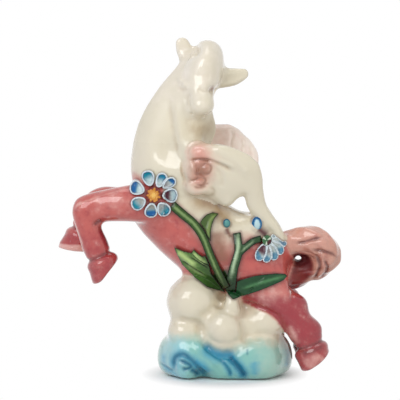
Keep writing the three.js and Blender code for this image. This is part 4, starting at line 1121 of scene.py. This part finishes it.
# %% Cut the skin
FLANGE = 1.0
quads = all_quads(fine)
face_owner = owners[quads[:, 0]]
for index, name in enumerate(SKIN):
    own = quads[face_owner == index]
    sides = np.concatenate([own[:, [i, (i + 1) % 4]] for i in range(4)])
    _, first, times = np.unique(np.sort(sides, 1), axis=0, return_index=True, return_counts=True)
    rim = sides[first[times == 1]]
    used, local = np.unique(own, return_inverse=True)
    edge_points = np.unique(rim)
    renumber, inner = np.zeros((2, clay.count), np.int64)
    renumber[used] = np.arange(len(used))
    inner[edge_points] = len(used) + np.arange(len(edge_points))
    a, b = rim.T
    flange = np.stack([renumber[b], renumber[a], inner[a], inner[b]], 1)
    chosen = np.concatenate([used, edge_points])
    place = clay.place[chosen]
    place[len(used):] -= clay.facing[edge_points] * FLANGE
    piece_from(name + "_glazed", place, clay.facing[chosen], np.vstack([local.reshape(-1, 4), flange]),
               {k: v[chosen] for k, v in skin_masks.items()}, porcelain, name)
    print(name, "faces:", len(own), "joint edges:", len(rim))

# %% [markdown]
# ## Applied flowers
#
# A daisy with its stem, a forked sprig with a fan-shaped flower and two buds, and three leaves are
# modelled separately and stuck on. They could be cut from the skin as well, but their outlines are
# crisper than its points, so each copy is remeshed finely by itself. A petal's own frame runs along it
# and across it, and its rim, its painted line and its dished middle follow from the distance to its
# outline, as do the dark borders of stems and leaves.

# %% Flower tools
FLOWER_VOXEL = 0.18
FLOWER_ROUNDS, FLOWER_BLOTCH = 6, 1.2


def applied(node):
    """A finely remeshed and softened copy of one flower casting."""
    copy = cast_copy(node)
    piece = Clay(reworked(copy, ("REMESH", FLOWER_VOXEL)))
    copy.free()
    piece.refresh(piece.relax(piece.place, FLOWER_ROUNDS))
    return piece


def set_down(piece, node, material, masks):
    """Turns a finished flower casting into its piece."""
    piece_from(node + "_glazed", piece.place, piece.facing, all_quads(piece.mesh), masks, material, node)


def middle(node):
    """The middle of a casting's box."""
    points = np.array([v.co for v in castings[node].data.vertices]) / MM
    return (points.min(0) + points.max(0)) / 2


def faces_viewer(piece, start, end):
    """How far each point faces the viewer, ramped from 0 to 1."""
    return ramp(-piece.facing[:, 1], start, end)


def edge_distance(piece):
    """How far each point lies inside the piece's outline in the side view, in millimetres."""
    cell = 1.6 * FLOWER_VOXEL
    corner = piece.flat.min(0)
    index = np.floor((piece.flat - corner) / cell).astype(int) + 2
    filled = np.zeros(index.max(0) + 3, bool)
    filled[index[:, 0], index[:, 1]] = True
    spread = filled.copy()
    for axis, step in ((0, 1), (0, -1), (1, 1), (1, -1)):
        spread |= np.roll(filled, step, axis)
    outside = (np.argwhere(spread & ~filled) - 1.5) * cell + corner
    tree = KDTree(len(outside))
    for i, (px, pz) in enumerate(outside):
        tree.insert((px, 0, pz), i)
    tree.balance()
    return np.array([tree.find((px, 0, pz))[2] for px, pz in piece.flat]) - cell / 2


def strokes_on(piece, marks):
    """The strongest of several strokes on one flower piece."""
    everywhere = np.ones(piece.count)
    return strongest(*(strength * stroke(piece, line, width, everywhere) for line, width, strength in marks))


def glazed(name, ground, coats):
    """A glazed material that lays coats over a ground through masks."""
    made, tree, output = empty_material(name)
    colour = painted(tree, ground, coats, FLOWER_BLOTCH)
    glaze_shader(tree, output, colour, ripple=0.02, gloss=0.3, body=0.15)
    return made


print("flower castings:", len(castings) - len(SKIN), "voxel in mm:", FLOWER_VOXEL)

# %% [markdown]
# ## Petals
#
# Each petal is dished, with a pale raised rim, a blue line inside it and a middle that runs from strong
# blue at the tip to grey or wine at the root. One drawing for all would look printed. The painter's hand
# changes round the flower, so the share of each colour follows from the direction in which the petal
# points.

# %% Petals
RIMS = {"daisy_petal": (0.5, 0.8), "fan_petal": (0.34, 0.5)}
INK_AT = {"daisy_petal": (0.65, 1.0), "fan_petal": (0.48, 0.5)}
INK_WIDTH, INK_ALONG, INK_ROOT, INK_TIP = 0.2, (-0.6, 0.2), 0.3, 0.6
GREY_ALONG, WINE_ALONG, BLUE_WITHIN = (0.5, -0.4), (0.55, -0.3), (0.3, 1.0)
HUBS = {"daisy_petal": middle("daisy_eye")[[0, 2]], "fan_petal": middle("fan_calyx")[[0, 2]]}
WINE = {"daisy_petal": (-4, 50), "fan_petal": (-112, 32)}
LEAN = {"daisy_petal": 0.175, "fan_petal": -0.35}
GREY_TOWARDS, BLUE_TOWARDS, BLUE_WIDTH = (-120, 55), (159, -99, 35), 24
FAN_GREY, FAN_BLUE, FAN_TEAL = 0.4, 0.4, 0.75
REDDEST, REDDEST_TEAL = 0.9, 0.3
RED, RED_TIP, BLUE_TIP, TIP_END = 0.5, -0.1, -0.5, 0.45
RIM_RISE, DISH_DEPTH, DISH_FROM = 0.1, 0.5, (0.6, 1.5)
SIDE_FACING, SIDE_SWELL = (0.3, 0.8), 0.22


def petal_frame(piece, hub):
    """Places along and across a petal, each from -1 to 1, and its direction from its hub in degrees."""
    centre = (piece.flat.min(0) + piece.flat.max(0)) / 2
    axis = (centre - hub) / np.linalg.norm(centre - hub)
    u, v = (piece.flat - centre) @ axis, (piece.flat - centre) @ np.array((-axis[1], axis[0]))
    return u / np.abs(u).max(), v / np.abs(v).max(), math.degrees(math.atan2(axis[1], axis[0]))


def towards(heading, direction, width):
    """How nearly a petal points in a direction, from 0 to 1."""
    return math.exp(-((heading - direction) / width) ** 2)


# Petal glaze: pale rim, ink-blue line, and a middle that runs from strong blue to grey, white or wine.
petal_glaze = glazed("blue_petal_glaze", "#D6E2E6",
                     (("middle", "#C9D8D6"), ("grey", "#8C877C"), ("wine", "#4E1A2C"),
                      ("teal", "#0A8499"), ("blue", "#0A5C9A"), ("ink", "#0C3A62")))
petals = [n for n in castings if "_petal_" in n]
for node in petals:
    kind = node.rsplit("_", 1)[0]
    daisy = kind == "daisy_petal"
    piece = applied(node)
    u, v, heading = petal_frame(piece, HUBS[kind])
    edge = edge_distance(piece)
    front = faces_viewer(piece, 0.1, 0.5)
    sides = ramp(1 - np.abs(piece.facing[:, 1]), *SIDE_FACING)
    dish = front * (RIM_RISE - DISH_DEPTH * ramp(edge, *DISH_FROM))
    piece.push(piece.relax(dish + SIDE_SWELL * sides, 2))
    inside = front * ramp(edge, *RIMS[kind])
    wine = towards(heading, *WINE[kind])
    grey = towards(heading, *GREY_TOWARDS) if daisy else FAN_GREY
    blue = max(towards(heading, way, BLUE_WIDTH) for way in BLUE_TOWARDS) if daisy else FAN_BLUE
    teal = (REDDEST_TEAL if wine > REDDEST else 1.0) if daisy else FAN_TEAL
    outer = ramp(u + LEAN[kind] * v, RED_TIP if wine > RED else BLUE_TIP, TIP_END)
    ink_at, ink = INK_AT[kind]
    line = front * np.exp(-((edge - ink_at) / INK_WIDTH) ** 2)
    set_down(piece, node, petal_glaze, {
        "middle": inside, "grey": inside * grey * ramp(u, *GREY_ALONG),
        "wine": inside * wine * ramp(u, *WINE_ALONG),
        "teal": inside * outer * teal, "blue": inside * blue * ramp(outer, *BLUE_WITHIN),
        "ink": ink * line * (INK_ROOT + INK_TIP * ramp(u, *INK_ALONG))})
print("petals:", len(petals))

# %% [markdown]
# ## Eye, buds and calyx
#
# The daisy's eye is a knob dabbed with a nearly dry brush, so its dark ring is ragged: a few sine waves
# round the hub make the rag. The buds are egg-shaped drops of slip. Their castings are small and faceted,
# so a scaled sphere takes their place. The calyx is a small green knob with a pale star.

# %% Eye
RAGS = ((0.1, 7, 0.8), (0.09, 11, 2), (0.06, 2, 0.4))
RING_FROM, RING_SINKS, RING_DEPTH, BRIGHT_WITHIN = (0.66, 0.88), (0.7, 0.9), 0.2, (0.6, 0.1)
GRAIN, GRAIN_SPACING, GRAIN_ROWS = 0.25, 4.2, 5


def round_hub(piece, node):
    """Each point's distance from its casting's middle and its angle round it, and its offset."""
    off = piece.flat - middle(node)[[0, 2]]
    return np.hypot(*off.T), np.arctan2(off[:, 1], off[:, 0]), off


# Saffron glaze: warm orange-yellow with a ragged dark red ring, as if dabbed with a nearly dry brush.
eye_glaze = glazed("saffron_eye_glaze", "#CE8A34", (("bright", "#EDBE62"), ("ring", "#742620")))
piece = applied("daisy_eye")
gap, turn, _ = round_hub(piece, "daisy_eye")
share = gap / gap.max()
ragged = share + sum(size * np.sin(count * turn + start) for size, count, start in RAGS)
grain = GRAIN * np.cos(gap * GRAIN_SPACING) * np.cos(turn * GRAIN_ROWS)
sunk_ring = RING_DEPTH * ramp(ragged, *RING_SINKS)
piece.push(piece.relax(faces_viewer(piece, 0.0, 0.3) * (grain - sunk_ring), 2))
set_down(piece, "daisy_eye", eye_glaze,
         {"bright": ramp(share, *BRIGHT_WITHIN), "ring": ramp(ragged, *RING_FROM)})
print("eye radius in mm:", round(float(gap.max()), 2))

# %% Buds
BUD_HALVES = {"side_bud": (2.4, 1.3, 3.4), "tip_bud": (1.7, 0.9, 2.1)}
BUD_DOME, BUD_DOME_WITHIN = 0.3, (0.1, 0.8)
FOOT_WAY, FOOT_REACH = np.array((0.6, -0.8)), 3
BUD_BLUE, BUD_BLUE_LEAN, BUD_TEAL, BUD_WINE = (0.65, 0.35), 0.1, 0.9, (0.75, 1.1)
BUD_LINE_AT, BUD_LINE_WIDTH, BUD_LINE_ALONG = 0.25, 0.14, (0.4, -0.5)
BUD_LINE_FOOT, BUD_LINE_TIP = 0.45, 0.55
# Bud glaze: pale at the heart, blue to the rim, with an ink line and a wine-red foot.
bud_glaze = glazed("blue_bud_glaze", "#BEDCE0",
                   (("blue", "#2E84B4"), ("teal", "#3E8F88"), ("ink", "#123E74"), ("wine", "#6A2234")))
for node, halves in BUD_HALVES.items():
    ball = bmesh.new()
    bmesh.ops.create_icosphere(ball, subdivisions=4, radius=1)
    bmesh.ops.scale(ball, vec=halves, verts=ball.verts)
    bmesh.ops.translate(ball, vec=middle(node), verts=ball.verts)
    piece = Clay(reworked(ball, ("REMESH", FLOWER_VOXEL)))
    ball.free()
    _, _, off = round_hub(piece, node)
    edge = edge_distance(piece)
    depth = edge / edge.max()
    foot = off @ FOOT_WAY / FOOT_REACH
    front = faces_viewer(piece, 0.0, 0.3)
    piece.push(piece.relax(front * BUD_DOME * ramp(depth, *BUD_DOME_WITHIN), 2))
    large = float(node == "side_bud")
    line = front * np.exp(-((depth - BUD_LINE_AT) / BUD_LINE_WIDTH) ** 2)
    set_down(piece, node, bud_glaze, {
        "blue": large * ramp(depth + BUD_BLUE_LEAN * foot, *BUD_BLUE),
        "teal": BUD_TEAL * (1 - large) * front,
        "ink": line * (BUD_LINE_FOOT + BUD_LINE_TIP * ramp(foot, *BUD_LINE_ALONG)),
        "wine": large * ramp(foot, *BUD_WINE)})
print("buds:", list(BUD_HALVES))

# %% Calyx
STAR_RAYS, STAR_TURN, RAY_EDGE, STAR_HEART, WINE_REACH = 3, 1.2, (0.55, 0.85), (0.2, 0.6), (0, 1.6)
# Calyx glaze: a pale star on green with a wine-red heart.
calyx_glaze = glazed("green_calyx_glaze", "#3D6B45", (("star", "#C9D8C2"), ("wine", "#4A1A22")))
piece = applied("fan_calyx")
gap, turn, off = round_hub(piece, "fan_calyx")
star = ramp(np.cos(STAR_RAYS * turn - STAR_TURN), *RAY_EDGE) * ramp(gap, *STAR_HEART)
set_down(piece, "fan_calyx", calyx_glaze,
         {"star": star, "wine": (1 - star) * ramp(off[:, 0] - off[:, 1], *WINE_REACH)})
print("calyx radius in mm:", round(float(gap.max()), 2))

# %% [markdown]
# ## Stems and leaves
#
# The stems are rounded ridges: nearly black at the border, mid green on the flanks and pale along the
# crest, where the pale line is a painted highlight. The serrated leaf is yellow-green in its three lobes
# with dark veins, the other two are deeper green. The veins could be painted only, but pressed in they
# also catch the light along their edges.

# %% Stems
FORK_CREST = [([(2.6, 48), (4, 55), (5.4, 60), (5.9, 64), (5.6, 68)], 0.85, 1.0),
              ([(7.4, 60.5), (10, 62.6), (13, 64.6)], 0.5, 0.5)]
STEM_HALVES = {"daisy_stem": 2.0, "forked_stem": 2.1}
STEM_DOME, STEM_DOME_WITHIN, STEM_FOOT = 0.6, (0.05, 0.9), (54, 42)
CREST_WITHIN, STEM_BORDER, BORDER_INK, FOOT_INK = (0.55, 1.0), (0.5, 0.12), 0.95, 0.7
# Stem glaze: green with a pale painted highlight along the crest, nearly black at the border.
stem_glazes = {
    "daisy_stem": glazed("green_stem_glaze", "#34531F", (("crest", "#7B965C"), ("ink", "#101808"))),
    "forked_stem": glazed("pale_green_stem_glaze", "#2A4E2A", (("crest", "#AEC8A0"), ("ink", "#0C180A")))}
for node, half in STEM_HALVES.items():
    piece = applied(node)
    edge = edge_distance(piece) / half
    front = faces_viewer(piece, -0.1, 0.3)
    foot = ramp(piece.z, *STEM_FOOT)
    # Crest: a painted highlight along the top of the stem.
    crest = strokes_on(piece, FORK_CREST) if node == "forked_stem" else ramp(edge, *CREST_WITHIN)
    piece.push(piece.relax(front * STEM_DOME * ramp(edge, *STEM_DOME_WITHIN), 3))
    set_down(piece, node, stem_glazes[node], {
        "crest": front * crest * (1 - FOOT_INK * foot),
        "ink": strongest(BORDER_INK * ramp(edge, *STEM_BORDER), FOOT_INK * foot)})
print("stems:", list(STEM_HALVES))

# %% Leaves
LEAF_LOBES = [([(-22.3, 60.3), (-18.1, 57), (-13.5, 53.3)], 1.5, 1.0),
              ([(-14.8, 59.8), (-12.1, 57), (-8.8, 54.2)], 1.1, 1.0),
              ([(-18.1, 54.6), (-13.5, 51), (-9.4, 48.4)], 1.0, 0.5)]
LEAF_VEINS = [([(-17.2, 57.9), (-12.5, 55.1), (-7.9, 52.3)], 0.4, 1.0),
              ([(-13.5, 57), (-9.7, 54.7), (-6.5, 52.8)], 0.35, 1.0),
              ([(-19.9, 55.4), (-15.3, 52.4), (-9.7, 49)], 0.45, 1.0),
              ([(-15.4, 59.2), (-13.6, 57.4), (-11.4, 55.6)], 0.35, 0.9)]
LONG_CREST = [([(7.9, 43), (14.4, 45.3), (20.9, 47.2), (26.9, 48.6)], 0.8, 1.0)]
HOOK_CREST = [([(-7.7, 64.4), (-7.9, 70), (-6.6, 74.8), (-4, 77)], 0.8, 1.0)]
CREST_RISE, VEIN_DEPTH = 0.45, 0.5
LEAF_BORDER, VEIN_INK, ROOT, ROOT_INK = (0.7, 0.15), 0.8, (-15, -5), 0.65
# Leaf glaze: green with a nearly black border and veins, and yellow-green where it lies thin.
LEAVES = {
    "serrated_leaf": (LEAF_LOBES, LEAF_VEINS, "yellow_green_leaf_glaze", "#48702F", "#B4CF82", "#16240F"),
    "long_leaf": (LONG_CREST, (), "deep_green_leaf_glaze", "#1B4827", "#4A7E50", "#081508"),
    "hooked_leaf": (HOOK_CREST, (), "mid_green_leaf_glaze", "#465E2C", "#7C9250", "#141F10"),
}
for node, (crests, veins, name, ground, thin, ink) in LEAVES.items():
    piece = applied(node)
    edge = edge_distance(piece)
    front = faces_viewer(piece, -0.1, 0.3)
    crest = strokes_on(piece, crests) * front
    vein = strokes_on(piece, veins) * front if veins else np.zeros(piece.count)
    root = ramp(piece.x, *ROOT) if node == "serrated_leaf" else 0.0
    piece.push(piece.relax(CREST_RISE * crest - VEIN_DEPTH * vein, 2))
    dark = strongest(BORDER_INK * ramp(edge, *LEAF_BORDER), VEIN_INK * vein) + ROOT_INK * root
    set_down(piece, node, glazed(name, ground, (("thin", thin), ("ink", ink))),
             {"thin": crest, "ink": np.clip(dark, 0, 1)})

# %% [markdown]
